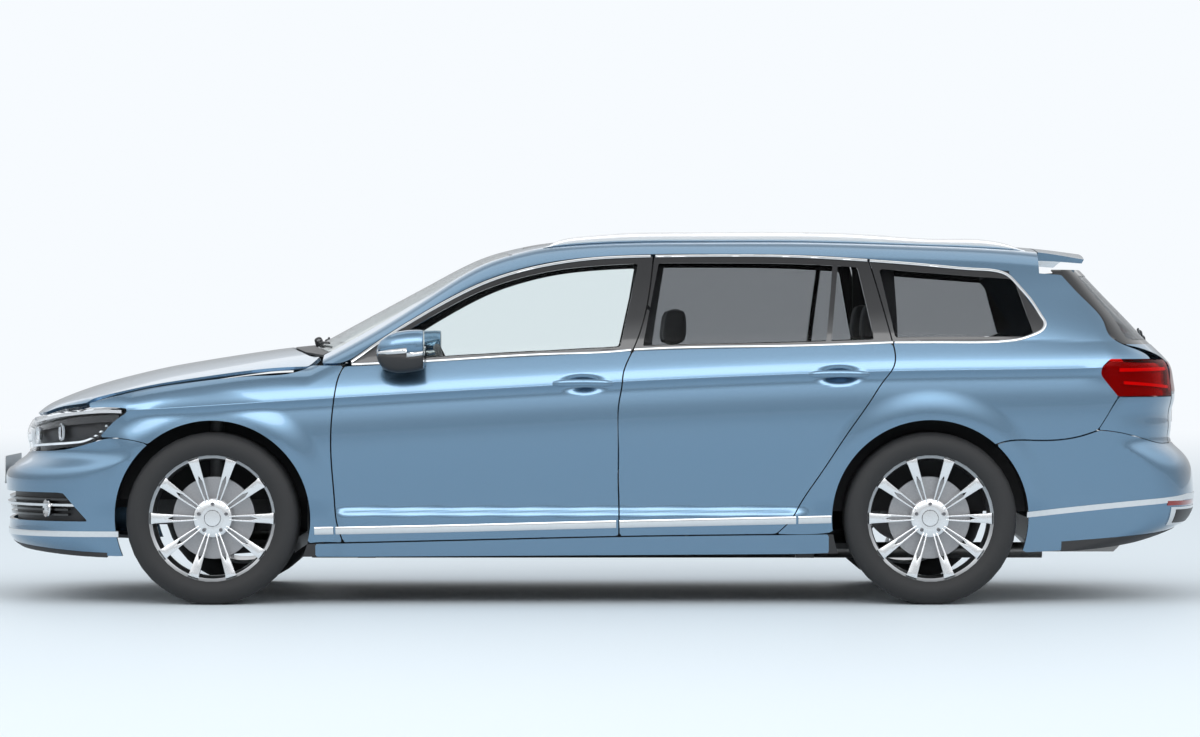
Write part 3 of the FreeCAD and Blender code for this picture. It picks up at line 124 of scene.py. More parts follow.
# Long lines of the body: heights and insets along the car, and insets or places over the height.
plan_inset = fair([
    (front(-860), 128), (front(-700), 70), (front(-480), 36), (front(-200), 18), (front(100), 10),
    (front(600), 3), (front(1400), 0), (rear(-600), 2), (rear(-150), 7), (rear(200), 14),
    (rear(500), 32), (rear(750), 62), (rear(1060), 118),
])
crease_height = fair([
    (front(-330), CREASE - 107), (front(480), CREASE - 57), (front(1308), CREASE - 9),
    (rear(-1203), CREASE + 6), (rear(-510), CREASE + 36), (rear(-152), CREASE + 47),
    (rear(498), CREASE + 56), (rear(666), CREASE + 59), (rear(1050), CREASE + 60),
])
belt_height = fair([
    (front(330), BELT - 72), (front(530), BELT - 68), (front(826), BELT - 53), (front(987), BELT - 43),
    (front(1351), BELT - 24), (rear(-1067), BELT - 5), (rear(-586), BELT + 6), (rear(-148), BELT + 20),
    (rear(282), BELT + 24), (rear(1000), BELT + 26),
])
flank = fair([
    (-680, 50), (-560, 37), (-480, 30), (-390, 21), (-300, 11), (-215, 4), (-150, 1.5), (-95, 3), (-50, 6.5),
    (-22, 6), (8, 5.5), (40, 13), (82, 29), (131, 50), (200, 84),
])
tumblehome = fair([(-40, -10), (0, 0), (100, 35), (200, 86), (300, 150), (363, 198), (410, 238), (470, 300)])
end_inset = fair([
    (front(380), 14), (front(620), 3), (front(900), 0), (rear(0), 0), (rear(300), 6), (rear(500), 20),
    (rear(720), 50), (rear(900), 84),
])
bonnet_line = fair([
    (front(-781), COWL - 267), (front(-753), COWL - 247), (front(-640), COWL - 188),
    (front(-502), COWL - 139), (front(-361), COWL - 101), (front(-223), COWL - 70),
    (front(-110), COWL - 50), (front(92), COWL - 18), (front(253), COWL + 4), (front(420), COWL + 20),
])
roof_line = fair([
    (front(341), COWL), (front(590), COWL + 136), (front(843), COWL + 272), (front(1041), ROOF - 78),
    (front(1166), ROOF - 43), (front(1246), ROOF - 27), (front(1345), ROOF - 15), (front(1560), ROOF - 3),
    (front(1850), ROOF), (rear(-500), ROOF - 3), (rear(0), ROOF - 20), (rear(538), ROOF - 50),
    (rear(637), ROOF - 63),
])
cross_fall = fair([
    (front(-880), 62), (front(-500), 72), (front(0), 82), (front(255), 90), (front(600), 112),
    (front(950), 92), (front(1300), 62), (front(1900), 56), (rear(400), 58), (rear(620), 74),
])
nose_line = fair([
    (200, front(-800)), (235, front(-852)), (300, front(-868)), (400, front(-877)), (460, front(-881)),
    (505, front(-878)), (530, front(-860)), (566, front(-806)), (640, front(-796)), (726, front(-782)),
    (790, front(-752)), (900, front(-690)),
])
tail_line = fair([
    (150, rear(620)), (200, rear(760)), (240, rear(898)), (293, rear(1029)), (350, rear(1082)),
    (400, rear(1094)), (450, rear(1094)), (500, rear(1090)), (541, rear(1080)), (592, rear(1041)),
    (622, rear(1010)), (680, rear(1006)), (751, rear(1008)), (790, rear(1019)), (830, rear(1020)),
    (879, rear(1013)), (936, rear(997)), (1006, rear(931)), (1100, rear(842)), (1200, rear(745)),
    (1318, rear(632)), (1420, rear(530)),
])
above_crease = fair([(-10, -4), (0, 0), (8, 3), (34, 11), (82, 29), (131, 50), (200, 84)])
below_crease = fair([
    (0, 0), (10, 5.5), (24, 9), (50, 7.5), (95, 2.5), (150, 0.5), (215, 3), (300, 11), (390, 21), (480, 30),
    (560, 37), (680, 50),
])
FRONT_HANDLE = (front(1440), CREASE - 2)
REAR_HANDLE = (rear(-357), CREASE + 33)


def side(x, z):
    """Half the car's width at a place along it and a height."""
    crease = crease_height(x)
    belt = belt_height(x)
    over = np.minimum(z, belt) - crease
    crisp = np.where(over < 0, below_crease(-over), above_crease(over))
    share = ramp(x, front(-380), front(-180)) * ramp(-x, -rear(760), -rear(560))
    inset = plan_inset(x) + flank(over) * (1 - share) + crisp * share
    inset = inset + np.where(z > belt, tumblehome(z - belt), 0.0)
    inset = inset + end_inset(x) * ramp(z, belt - 60, belt + 200)
    ledge = ramp(x, front(455), front(520)) * ramp(-x, -rear(-430), -rear(-560))
    inset = inset - 16 * ledge * ramp(-z, -385, -340)
    for axle, radius in ((FRONT_AXLE, FRONT_ARCH), (REAR_AXLE, REAR_ARCH)):
        reach = np.hypot(x - axle, z - AXLE_HEIGHT)
        inset = inset - 9 * ramp(-reach, -(radius + 120), -(radius + 20)) * ramp(z, 330, 420)
    for place, height in (FRONT_HANDLE, REAR_HANDLE):
        bowl = np.hypot((x - place) / 118, (z - height) / 44)
        inset = inset + 15 * ramp(-bowl, -1, 0)
    return HALF_WIDTH - inset


def top(x, y):
    """Height of the bonnet, windscreen and roof."""
    fall = cross_fall(x) * (np.abs(y) / 860) ** 2.3
    return blend_max(bonnet_line(x), roof_line(x), 8) - fall


def nose(y, z):
    return nose_line(z) + 0.00011 * y * y + 165 * (np.abs(y) / 800) ** 6


def tail(y, z):
    return tail_line(z) - 0.00008 * y * y - 110 * (np.abs(y) / 800) ** 6


def outside(x, y, z):
    """How far a point lies outside the skin, negative inside."""
    y = np.abs(y)
    over = blend_max(y - side(x, z), z - top(x, y), 56)
    ends = np.maximum(nose(y, z) - x, x - tail(y, z))
    return blend_max(over, ends, 66)


def pierce(field, low, high):
    """Where a field turns positive between two values."""
    for _ in range(24):
        middle = (low + high) / 2
        out = field(middle) > 0
        high = np.where(out, middle, high)
        low = np.where(out, low, middle)
    return low


def skin_y(x, z):
    """Half-width of the skin at a place and height."""
    shape = np.broadcast(x, z).shape
    return pierce(lambda y: outside(x, y, z), np.zeros(shape), np.full(shape, 1150.0))


def skin_z(x, y):
    """Height of the skin over a place on the plan."""
    shape = np.broadcast(x, y).shape
    return pierce(lambda z: outside(x, y, z), np.full(shape, 560.0), np.full(shape, 1600.0))


def skin_x(y, z, toward):
    """Place of the skin at the nose (toward -1) or the tail (toward 1)."""
    shape = np.broadcast(y, z).shape
    reach = pierce(lambda x: outside(toward * x, y, z), np.full(shape, 1200.0), np.full(shape, 2700.0))
    return toward * reach


def outward(points):
    """Unit normals of the skin at points on it."""
    x, y, z = points.T
    step = 1.2
    slope = np.stack([
        outside(x + step, y, z) - outside(x - step, y, z),
        outside(x, y + step, z) - outside(x, y - step, z),
        outside(x, y, z + step) - outside(x, y, z - step),
    ], 1)
    return slope / np.linalg.norm(slope, axis=1)[:, None]


# Shut lines and edges seen from the side: places over height, or heights over place.
front_shut = fair([
    (SILL + 68, front(508)), (SILL + 134, front(487)), (SILL + 220, front(478)), (SILL + 336, front(469)),
    (SILL + 430, front(464.5)), (SILL + 547, front(468.5)), (SILL + 642, front(480.5)),
    (SILL + 721, front(501.5)), (SILL + 760, front(524)),
])
middle_shut = fair([
    (SILL + 88, front(1577)), (SILL + 215, front(1577)), (SILL + 302, front(1574.5)),
    (SILL + 418, front(1575)), (SILL + 612, front(1579)), (SILL + 667, front(1589)),
    (SILL + 718, front(1595)), (SILL + 802, front(1630)), (SILL + 1169, front(1714)),
])
rear_shut = fair([
    (SILL + 92, rear(-602)), (SILL + 135, rear(-555)), (SILL + 202, rear(-512)), (SILL + 324, rear(-431)),
    (SILL + 487, rear(-323)), (SILL + 614, rear(-234)), (SILL + 687, rear(-185)), (SILL + 735, rear(-150)),
    (SILL + 784, rear(-140)), (SILL + 839, rear(-150)), (SILL + 1158, rear(-233)),
])
door_bottom = fair([
    (front(480), SILL + 59), (front(1000), SILL + 71), (front(1560), SILL + 84), (rear(-600), SILL + 92),
])
window_top = fair([
    (front(529.5), COWL - 52), (front(662), COWL + 40), (front(782), COWL + 117), (front(917), COWL + 195),
    (front(1045), COWL + 258), (front(1175), ROOF - 144), (front(1349), ROOF - 106), (front(1466), ROOF - 93),
    (front(1714), ROOF - 81), (rear(-800), ROOF - 80), (rear(-500), ROOF - 84), (rear(-233), ROOF - 100),
    (rear(55), ROOF - 123), (rear(265), ROOF - 139),
])
bonnet_side = fair([
    (front(-620), COWL - 232), (front(-472), COWL - 202), (front(-279), COWL - 154), (front(-86), COWL - 124),
    (front(171), COWL - 99), (front(345), COWL - 77), (front(372), COWL - 64), (front(419), COWL - 19),
])
screen_edge = fair([
    (front(341), 742), (front(500), 712), (front(700), 668), (front(900), 629), (front(1070), 603),
    (front(1250), ROOF_HALF_WIDTH), (rear(-1000), ROOF_HALF_WIDTH),
    (rear(300), ROOF_HALF_WIDTH), (rear(460), 590),
])


def mottle_group():
    """Shader group: soft variation between two colours, with a roughness and a height of the same grain."""
    group = bpy.data.node_groups.new("mottle", "ShaderNodeTree")
    for name, kind, value in (("Dark", "Color", (0, 0, 0, 1)), ("Light", "Color", (1, 1, 1, 1)),
                              ("Scale", "Float", 60.0), ("Smooth", "Float", 0.3), ("Rough", "Float", 0.4),
                              ("Stretch", "Vector", (1, 1, 1))):
        socket = group.interface.new_socket(name, in_out="INPUT", socket_type="NodeSocket" + kind)
        socket.default_value = value
    for name, kind in (("Color", "Color"), ("Roughness", "Float"), ("Height", "Float")):
        group.interface.new_socket(name, in_out="OUTPUT", socket_type="NodeSocket" + kind)
    nodes, links = group.nodes, group.links
    given = nodes.new("NodeGroupInput")
    result = nodes.new("NodeGroupOutput")
    place = nodes.new("ShaderNodeTexCoord")
    stretch = nodes.new("ShaderNodeVectorMath")
    stretch.operation = "MULTIPLY"
    links.new(place.outputs["Object"], stretch.inputs[0])
    links.new(given.outputs["Stretch"], stretch.inputs[1])
    noise = nodes.new("ShaderNodeTexNoise")
    noise.inputs["Detail"].default_value = 3.0
    links.new(stretch.outputs[0], noise.inputs["Vector"])
    links.new(given.outputs["Scale"], noise.inputs["Scale"])
    colour = nodes.new("ShaderNodeMix")
    colour.data_type = "RGBA"
    links.new(noise.outputs["Fac"], colour.inputs["Factor"])
    links.new(given.outputs["Dark"], colour.inputs["A"])
    links.new(given.outputs["Light"], colour.inputs["B"])
    rough = nodes.new("ShaderNodeMapRange")
    links.new(noise.outputs["Fac"], rough.inputs["Value"])
    links.new(given.outputs["Smooth"], rough.inputs["To Min"])
    links.new(given.outputs["Rough"], rough.inputs["To Max"])
    links.new(colour.outputs["Result"], result.inputs["Color"])
    links.new(rough.outputs["Result"], result.inputs["Roughness"])
    links.new(noise.outputs["Fac"], result.inputs["Height"])
    return group


MOTTLE = mottle_group()


def finish(name, dark, light, scale, smooth, rough, metallic=0.0, coat=0.0, bump=0.0, stretch=(1, 1, 1),
           sheen=0.0):
    """A material whose colour and roughness vary a little at the given grain."""
    material = bpy.data.materials.new(name)
    material.use_nodes = True
    nodes, links = material.node_tree.nodes, material.node_tree.links
    surface = nodes["Principled BSDF"]
    grain = nodes.new("ShaderNodeGroup")
    grain.node_tree = MOTTLE
    grain.inputs["Dark"].default_value = (*dark, 1)
    grain.inputs["Light"].default_value = (*light, 1)
    grain.inputs["Scale"].default_value = scale
    grain.inputs["Smooth"].default_value = smooth
    grain.inputs["Rough"].default_value = rough
    grain.inputs["Stretch"].default_value = stretch
    links.new(grain.outputs["Color"], surface.inputs["Base Color"])
    links.new(grain.outputs["Roughness"], surface.inputs["Roughness"])
    surface.inputs["Metallic"].default_value = metallic
    surface.inputs["Coat Weight"].default_value = coat
    surface.inputs["Coat Roughness"].default_value = 0.02
    surface.inputs["Sheen Weight"].default_value = sheen
    if bump:
        dent = nodes.new("ShaderNodeBump")
        dent.inputs["Strength"].default_value = bump
        dent.inputs["Distance"].default_value = 0.0006
        links.new(grain.outputs["Height"], dent.inputs["Height"])
        links.new(dent.outputs["Normal"], surface.inputs["Normal"])
    return material


def glass(name, tint):
    """Clear glass that lets the lamps' light through to what stands behind it."""
    material = bpy.data.materials.new(name)
    material.use_nodes = True
    nodes, links = material.node_tree.nodes, material.node_tree.links
    surface = nodes["Principled BSDF"]
    surface.inputs["Base Color"].default_value = (*tint, 1)
    surface.inputs["Roughness"].default_value = 0.0
    surface.inputs["Transmission Weight"].default_value = 1.0
    surface.inputs["IOR"].default_value = 1.12
    through = nodes.new("ShaderNodeBsdfTransparent")
    through.inputs["Color"].default_value = (*tint, 1)
    rays = nodes.new("ShaderNodeLightPath")
    choice = nodes.new("ShaderNodeMixShader")
    links.new(rays.outputs["Is Shadow Ray"], choice.inputs["Fac"])
    links.new(surface.outputs["BSDF"], choice.inputs[1])
    links.new(through.outputs["BSDF"], choice.inputs[2])
    links.new(choice.outputs["Shader"], nodes["Material Output"].inputs["Surface"])
    return material


paint = finish("blue_metallic_paint", (0.125, 0.225, 0.330), (0.145, 0.250, 0.360), 900, 0.20, 0.26,
               metallic=0.9,
               coat=1.0)
clear_glass = glass("clear_side_glass", (0.86, 0.90, 0.90))
privacy_glass = glass("dark_privacy_glass", (0.42, 0.43, 0.44))
lens_glass = glass("lamp_lens", (0.95, 0.96, 0.97))
red_lens = glass("red_lens", (0.75, 0.02, 0.015))
piano_black = finish("piano_black", (0.008, 0.008, 0.009), (0.012, 0.012, 0.013), 200, 0.08, 0.12, coat=0.6)
satin_black = finish("satin_black", (0.014, 0.014, 0.015), (0.022, 0.022, 0.024), 700, 0.35, 0.5)
grained_black = finish("grained_black_plastic", (0.016, 0.016, 0.017), (0.030, 0.030, 0.032), 900, 0.5, 0.68,
                       bump=0.35)
chrome = finish("bright_trim", (0.66, 0.67, 0.68), (0.74, 0.75, 0.76), 60, 0.10, 0.16, metallic=1.0)
rail_silver = finish("satin_rail", (0.70, 0.71, 0.72), (0.78, 0.79, 0.80), 500, 0.26, 0.34, metallic=1.0,
                     stretch=(0.02, 1, 1))
alloy_bright = finish("machined_alloy", (0.70, 0.71, 0.72), (0.80, 0.81, 0.82), 700, 0.18, 0.26, metallic=1.0,
                      coat=0.5)
alloy_grey = finish("lacquered_alloy", (0.36, 0.37, 0.38), (0.44, 0.45, 0.46), 500, 0.26, 0.36, metallic=1.0,
                    coat=0.4)
disc_steel = finish("brake_disc", (0.30, 0.30, 0.31), (0.42, 0.42, 0.43), 160, 0.28, 0.4, metallic=1.0)
steel_dark = finish("bolt_steel", (0.16, 0.16, 0.17), (0.24, 0.24, 0.25), 200, 0.3, 0.4, metallic=1.0)
rubber = finish("tyre_rubber", (0.010, 0.010, 0.011), (0.018, 0.018, 0.019), 260, 0.55, 0.75, bump=0.25)
cast_metal = finish("cast_metal", (0.10, 0.10, 0.10), (0.18, 0.18, 0.18), 120, 0.5, 0.7, metallic=0.7,
                    bump=0.5)
coated_steel = finish("coated_steel", (0.02, 0.02, 0.021), (0.035, 0.035, 0.037), 80, 0.4, 0.6, bump=0.2)
exhaust_steel = finish("exhaust_steel", (0.28, 0.27, 0.26), (0.42, 0.41, 0.40), 24, 0.3, 0.5, metallic=1.0)
cabin_plastic = finish("cabin_plastic", (0.022, 0.022, 0.024), (0.040, 0.040, 0.043), 800, 0.5, 0.65,
                       bump=0.3)
seat_leather = finish("seat_leather", (0.030, 0.029, 0.030), (0.055, 0.053, 0.054), 420, 0.42, 0.58, bump=0.6,
                      sheen=0.05)
underbody = finish("underbody_coating", (0.012, 0.012, 0.013), (0.024, 0.024, 0.026), 150, 0.6, 0.8, bump=0.4)
lit_red = finish("lit_red", (0.80, 0.06, 0.03), (0.92, 0.12, 0.06), 240, 0.15, 0.25, coat=0.8)
reflector_red = finish("red_reflector", (0.16, 0.008, 0.006), (0.26, 0.012, 0.010), 240, 0.12, 0.2, coat=0.8)
lamp_silver = finish("lamp_silver", (0.60, 0.61, 0.62), (0.74, 0.75, 0.76), 120, 0.1, 0.2, metallic=1.0)
light_guide = finish("light_guide", (0.80, 0.83, 0.86), (0.92, 0.94, 0.96), 300, 0.15, 0.25, coat=0.5)
plate_white = finish("blank_plate", (0.72, 0.72, 0.70), (0.80, 0.80, 0.78), 40, 0.3, 0.4)

# Outlines of the rear quarter, the front wing and the bumpers' upper edges.
rear_edge = fair([
    (SILL + 490, rear(648)), (SILL + 566, rear(696)), (SILL + 627, rear(735)), (SILL + 690, rear(800)),
    (SILL + 740, rear(852)), (SILL + 776, rear(866)), (SILL + 800, rear(830)), (SILL + 825, rear(762)),
    (SILL + 916, rear(684)), (SILL + 1016, rear(600)), (SILL + 1106, rear(520)), (SILL + 1196, rear(440)),
])
quarter_foot = fair([
    (rear(-600), SILL + 92), (rear(-420), SILL + 93), (rear(-330), SILL + 120), (rear(-190), SILL + 260),
    (rear(0), SILL + 350), (rear(190), SILL + 410), (rear(270), SILL + 448), (rear(400), SILL + 458),
    (rear(592), SILL + 476), (rear(655), SILL + 497),
])
wing_foot = fair([
    (front(-445), SILL + 467), (front(-330), SILL + 460), (front(-100), SILL + 380), (front(150), SILL + 200),
    (front(300), SILL + 62), (front(400), SILL + 58), (front(500), SILL + 59),
])
LAMP_JOINT = 4
NOSE_HEART = front(-200)
TAIL_HEART = rear(210)


def ray_skin(heart, toward, angle, z, depth=0.0):
    """Skin points on level rays, angle degrees off the car's axis to the left."""
    cosine = toward * np.cos(np.radians(angle))
    sine = -np.sin(np.radians(angle))
    shape = np.broadcast(angle, z).shape
    reach = pierce(lambda r: outside(heart + r * cosine, r * sine, z), np.zeros(shape),
                   np.full(shape, 1400.0))
    reach = reach - depth
    return np.stack(np.broadcast_arrays(heart + reach * cosine, reach * sine, z), -1)


def most(*fields):
    """The largest of several fields, its corners rounded like a pressed panel's."""
    whole = fields[0]
    for field in fields[1:]:
        whole = blend_max(whole, field, 9)
    return whole


def trimmed(u_lines, v_lines, place, kept):
    """Points and faces of the part of a grid where kept(points) is negative, its outline smooth."""
    u_lines, v_lines = np.asarray(u_lines, float), np.asarray(v_lines, float)
    across, count = len(u_lines), len(v_lines)
    u, v = np.meshgrid(u_lines, v_lines, indexing="ij")
    u, v = u.ravel(), v.ravel()
    points = place(u, v)
    field = kept(points)
    index = np.arange(across * count).reshape(across, count)
    starts, ends = [], []
    for a, b in ((index[:-1, :], index[1:, :]), (index[:, :-1], index[:, 1:])):
        a, b = a.ravel(), b.ravel()
        cut = (field[a] < 0) != (field[b] < 0)
        starts.append(a[cut])
        ends.append(b[cut])
    start, end = np.concatenate(starts), np.concatenate(ends)
    low, high = np.zeros(len(start)), np.ones(len(start))
    for _ in range(11):
        share = (low + high) / 2
        found = place(u[start] + (u[end] - u[start]) * share, v[start] + (v[end] - v[start]) * share)
        same = (kept(found) < 0) == (field[start] < 0)
        low = np.where(same, share, low)
        high = np.where(same, high, share)
    crossing = {}
    extra = []
    if len(start):
        share = (low + high) / 2
        extra = place(u[start] + (u[end] - u[start]) * share, v[start] + (v[end] - v[start]) * share)
        for n, (a, b) in enumerate(zip(start, end)):
            crossing[(min(a, b), max(a, b))] = len(points) + n
        points = np.concatenate([points, extra])
    faces = []
    for i in range(across - 1):
        for k in range(count - 1):
            ring = (index[i, k], index[i + 1, k], index[i + 1, k + 1], index[i, k + 1])
            within = [field[n] < 0 for n in ring]
            if not any(within):
                continue
            if all(within):
                faces.append(list(ring))
                continue
            face = []
            for n in range(4):
                a, b = ring[n], ring[(n + 1) % 4]
                if within[n]:
                    face.append(a)
                if within[n] != within[(n + 1) % 4]:
                    face.append(crossing[(min(a, b), max(a, b))])
            if len(face) > 2:
                faces.append(face)
    return points, faces


def tidy_sheet(points, faces, merge=0.7):
    """The sheet without unused points and slivers, its faces outwards."""
    mesh = bmesh.new()
    verts = [mesh.verts.new(p) for p in points]
    for face in faces:
        mesh.faces.new([verts[n] for n in face])
    bmesh.ops.delete(mesh, geom=[v for v in mesh.verts if not v.link_faces], context="VERTS")
    bmesh.ops.remove_doubles(mesh, verts=mesh.verts, dist=merge)
    bmesh.ops.dissolve_degenerate(mesh, edges=mesh.edges, dist=0.05)
    mesh.verts.index_update()
    points = np.array([v.co for v in mesh.verts])
    faces = [[v.index for v in f.verts] for f in mesh.faces]
    mesh.free()
    normals = outward(points)
    sample = faces[len(faces) // 2]
    a, b, c = points[sample[0]], points[sample[1]], points[sample[2]]
    if np.dot(np.cross(b - a, c - a), normals[sample[0]]) < 0:
        faces = [face[::-1] for face in faces]
    return points, faces, normals


def shell_object(name, points, faces, normals, inner):
    """A closed piece: the outer sheet, its copy further in, and a wall round every edge."""
    count = len(points)
    seen = {}
    for face in faces:
        for n, a in enumerate(face):
            b = face[(n + 1) % len(face)]
            seen[(a, b)] = seen.get((a, b), 0) + 1
    walls = [[b, a, a + count, b + count] for (a, b) in seen if (b, a) not in seen]
    backs = [[n + count for n in face[::-1]] for face in faces]
    data = bpy.data.meshes.new(name)
    everything = faces + walls + backs
    data.from_pydata((np.concatenate([points, inner]) * MM).tolist(), [], everything)
    data.update()
    data.polygons.foreach_set("use_smooth", [True] * len(data.polygons))
    data.set_sharp_from_angle(angle=math.radians(40))
    given = []
    for face in faces:
        given += [tuple(normals[n]) for n in face]
    given += [(0.0, 0.0, 0.0)] * sum(len(face) for face in walls + backs)
    data.normals_split_custom_set(given)
    return made(name, data)


def made(name, data):
    thing = bpy.data.objects.new(name, data)
    bpy.context.scene.collection.objects.link(thing)
    return thing


def settle(thing, body, slot, paint, *nodes):
    """Gives a piece its finish and its body, and hides the parts that it stands for."""
    if not thing.data.materials:
        thing.data.materials.append(paint)
    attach(thing, body)
    if nodes:
        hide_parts(*nodes)
    return thing


def spaced(low, high, step):
    """Evenly spaced places, about a step apart, with both ends."""
    return np.linspace(low, high, max(int(round((high - low) / step)) + 1, 2))


CREASE_ROWS = np.concatenate([
    spaced(-690, -420, 13), spaced(-406, -330, 5), spaced(-318, -48, 10), spaced(-42, -6, 4), [-3, 0, 3, 6],
    spaced(10, 50, 5), spaced(58, 330, 10),
])


def side_sheet(x_low, x_high, kept, rows=CREASE_ROWS):
    """Trimmed sheet of the left side; its rows run along the crease."""
    def place(x, over):
        z = crease_height(x) + over
        return np.stack([x, -skin_y(x, z), z], 1)
    return tidy_sheet(*trimmed(spaced(x_low, x_high, 10.0), rows, place, kept))


def arch_field(x, z, axle, radius):
    return radius - np.hypot(x - axle, z - AXLE_HEIGHT)


def both_ways(sheet):
    """A left-hand sheet (points, faces, normals, inner) and its mirror image, each with its side's name."""
    points, faces, normals, inner = sheet
    flip = np.array([1.0, -1.0, 1.0])
    yield "left", sheet
    yield "right", (points * flip, [face[::-1] for face in faces], normals * flip, inner * flip)


def side_pair(name, body, slot, finish, sheet, *nodes):
    """The same panel on both sides. name, body and nodes hold {} for the side."""
    for hand, given in both_ways(sheet):
        thing = shell_object(name.format(hand), *given)
        settle(thing, body.format(hand), slot, finish, *[node.format(hand) for node in nodes])


def with_depth(sheet, depth):
    """The sheet of the left side with its inner points, moved straight towards the car's middle."""
    points, faces, normals = sheet
    return points, faces, normals, points + np.array([0.0, depth, 0.0])


def with_thickness(sheet, depth):
    """The sheet with its inner points, moved in along its normals."""
    points, faces, normals = sheet
    return points, faces, normals, points - normals * depth


def nose_angle(points):
    return np.degrees(np.arctan2(np.abs(points[:, 1]), NOSE_HEART - points[:, 0]))


def tail_angle(points):
    return np.degrees(np.arctan2(np.abs(points[:, 1]), points[:, 0] - TAIL_HEART))


lamp_foot = fair([(38, 588), (52, 598), (66, 610), (71, 624), (75, 664), (78, 712), (81, 745)])
lamp_head = fair([(38, 712), (52, 729), (62, 748), (71, 760), (77, 763), (81, 760)])


def lamp_field(points):
    """Negative inside the outline of the headlamp."""
    angle = nose_angle(points)
    z = points[:, 2]
    return most(lamp_foot(angle) - z, z - lamp_head(angle), (angle - 81.2) * 14)


# Front wings.
WING_HEAD = 929
nose_edge = slanted((front(-440), SILL + 466), (front(-488), COWL - 205))


def wing_kept(p):
    x, z = p[:, 0], p[:, 2]
    panel = most(nose_edge(z) - x, x - front_shut(z) + GAP, wing_foot(x) - z, z - bonnet_side(x) + GAP,
                 z - WING_HEAD)
    return np.maximum.reduce([panel, arch_field(x, z, FRONT_AXLE, FRONT_ARCH), LAMP_JOINT - lamp_field(p)])


side_pair("front_wing_{}", "body", "body_paint", paint,
          with_depth(side_sheet(front(-520), front(540), wing_kept), 25), "wing_{}")

# Doors: a painted shell below the belt and a black window frame above it.
DOOR_FACE = 90 - HALF_WIDTH
PANE_JOINT = 0.6
window_sill = push(belt_height, 12)
window_head = push(window_top, -30)


def window_lines(x_front, x_rear, lean_front, lean_rear):
    return (slanted((x_front, BELT), (x_front + lean_front, ROOF - 115)),
            slanted((x_rear, BELT), (x_rear + lean_rear, ROOF - 115)))


front_window = window_lines(front(745), front(1585), 20, 70)
rear_window = window_lines(front(1672), rear(-212), 64, -66)
quarter_window = window_lines(rear(-128), rear(420), -67, -102)


def window_field(p, window, sill=window_sill):
    """Negative inside a side window."""
    x, z = p[:, 0], p[:, 2]
    return most(window[0](z) - x, x - window[1](z), sill(x) - z, z - window_head(x))


def door_shell(x_low, x_high, edges):
    def kept(p):
        x, z = p[:, 0], p[:, 2]
        return most(edges[0](z) - x, x - edges[1](z), door_bottom(x) - z, z - belt_height(x) + 6)
    points, faces, normals = side_sheet(x_low, x_high, kept)
    inner = points.copy()
    share = (points[:, 0] - x_low) / (x_high - x_low)
    inner[:, 0] += 50 * (1 - share) ** 2 - 26 * share ** 2
    inner[:, 1] = DOOR_FACE
    return points, faces, normals, inner


def upper_sheet(x_low, x_high, kept, inset, step=12.0):
    """Trimmed sheet of the left side above the belt."""
    def place(x, z):
        return np.stack([x, inset - skin_y(x, z), z], 1)
    return tidy_sheet(*trimmed(spaced(x_low, x_high, step), spaced(900, 1372, 12), place, kept))


rear_door_front = push(middle_shut, GAP)
DOORS = (
    ("front_door", front(455), front(1725), (front_shut, middle_shut), front_window, front(545)),
    ("rear_door", front(1570), rear(-125), (rear_door_front, rear_shut), rear_window, -3000.0),
)
for name, x_low, x_high, edges, window, frame_start in DOORS:
    side_pair(name + "_shell_{}", name + "_{}", "body_paint", paint, door_shell(x_low, x_high, edges),
              name + "_{}")

    def frame_kept(p):
        x, z = p[:, 0], p[:, 2]
        whole = most(np.maximum(edges[0](z), frame_start) - x, x - edges[1](z), belt_height(x) - 30 - z,
                     z - window_top(x))
        return np.maximum(whole, -window_field(p, window))

    side_pair(name + "_window_frame_{}", name + "_{}", "gloss_black", piano_black,
              with_depth(upper_sheet(x_low, x_high, frame_kept, 4.0), 34))
    pane = upper_sheet(x_low, x_high, lambda p: window_field(p, window) + PANE_JOINT, 9.0)
    side_pair(name + "_pane_{}", name + "_{}", "window_glass" if name == "front_door" else "privacy_glass",
              clear_glass if name == "front_door" else privacy_glass, with_depth(pane, 4), name + "_glass_{}")

# Rear quarter with its window. The tail lamps start at TAILGATE_TURN degrees, beside the tailgate.
TAILGATE_TURN = 39.4


def tail_lamp_foot(angle):
    return blend_max(810, 810 + 24 * (angle - 58.5), 8)


def tail_lamp_head(angle):
    return -blend_max(-951, -951 + 15.5 * (angle - 60), 8)


def tail_lamp_field(p):
    """Negative inside the outline of a tail lamp."""
    angle = tail_angle(p)
    z = p[:, 2]
    outline = most(tail_lamp_foot(angle) - z, z - tail_lamp_head(angle), (angle - 61.8) * 15)
    return np.maximum(outline, (TAILGATE_TURN - angle) * 15)


window_surround_foot = fair([
    (1050, 1018), (1141, 1019), (1571, 1022), (1642, 1032), (1705, 1056), (1748, 1084),
])
window_surround_rear = slanted((1757, 1072), (1611, 1286))


def surround_field(p):
    """Negative inside the bright outline of the rear quarter window."""
    x, z = p[:, 0], p[:, 2]
    return most(rear_shut(z) + GAP - x - 20, x - window_surround_rear(z), window_surround_foot(x) - z,
                z - window_top(x) - 8)


def quarter_kept(p):
    x, z = p[:, 0], p[:, 2]
    panel = most(rear_shut(z) + GAP - x, x - rear_edge(z), quarter_foot(x) - z)
    return np.maximum.reduce([panel, z - window_top(x) - 2, arch_field(x, z, REAR_AXLE, REAR_ARCH),
                              -surround_field(p), LAMP_JOINT - tail_lamp_field(p)])


def quarter_opening(p):
    """Negative where the rear quarter window is see-through."""
    return window_field(p, quarter_window, push(window_sill, 6))


def quarter_border(p):
    x, z = p[:, 0], p[:, 2]
    whole = np.maximum.reduce([surround_field(p), rear_shut(z) + GAP - x, z - window_top(x) - 2])
    return np.maximum(whole, -quarter_opening(p))


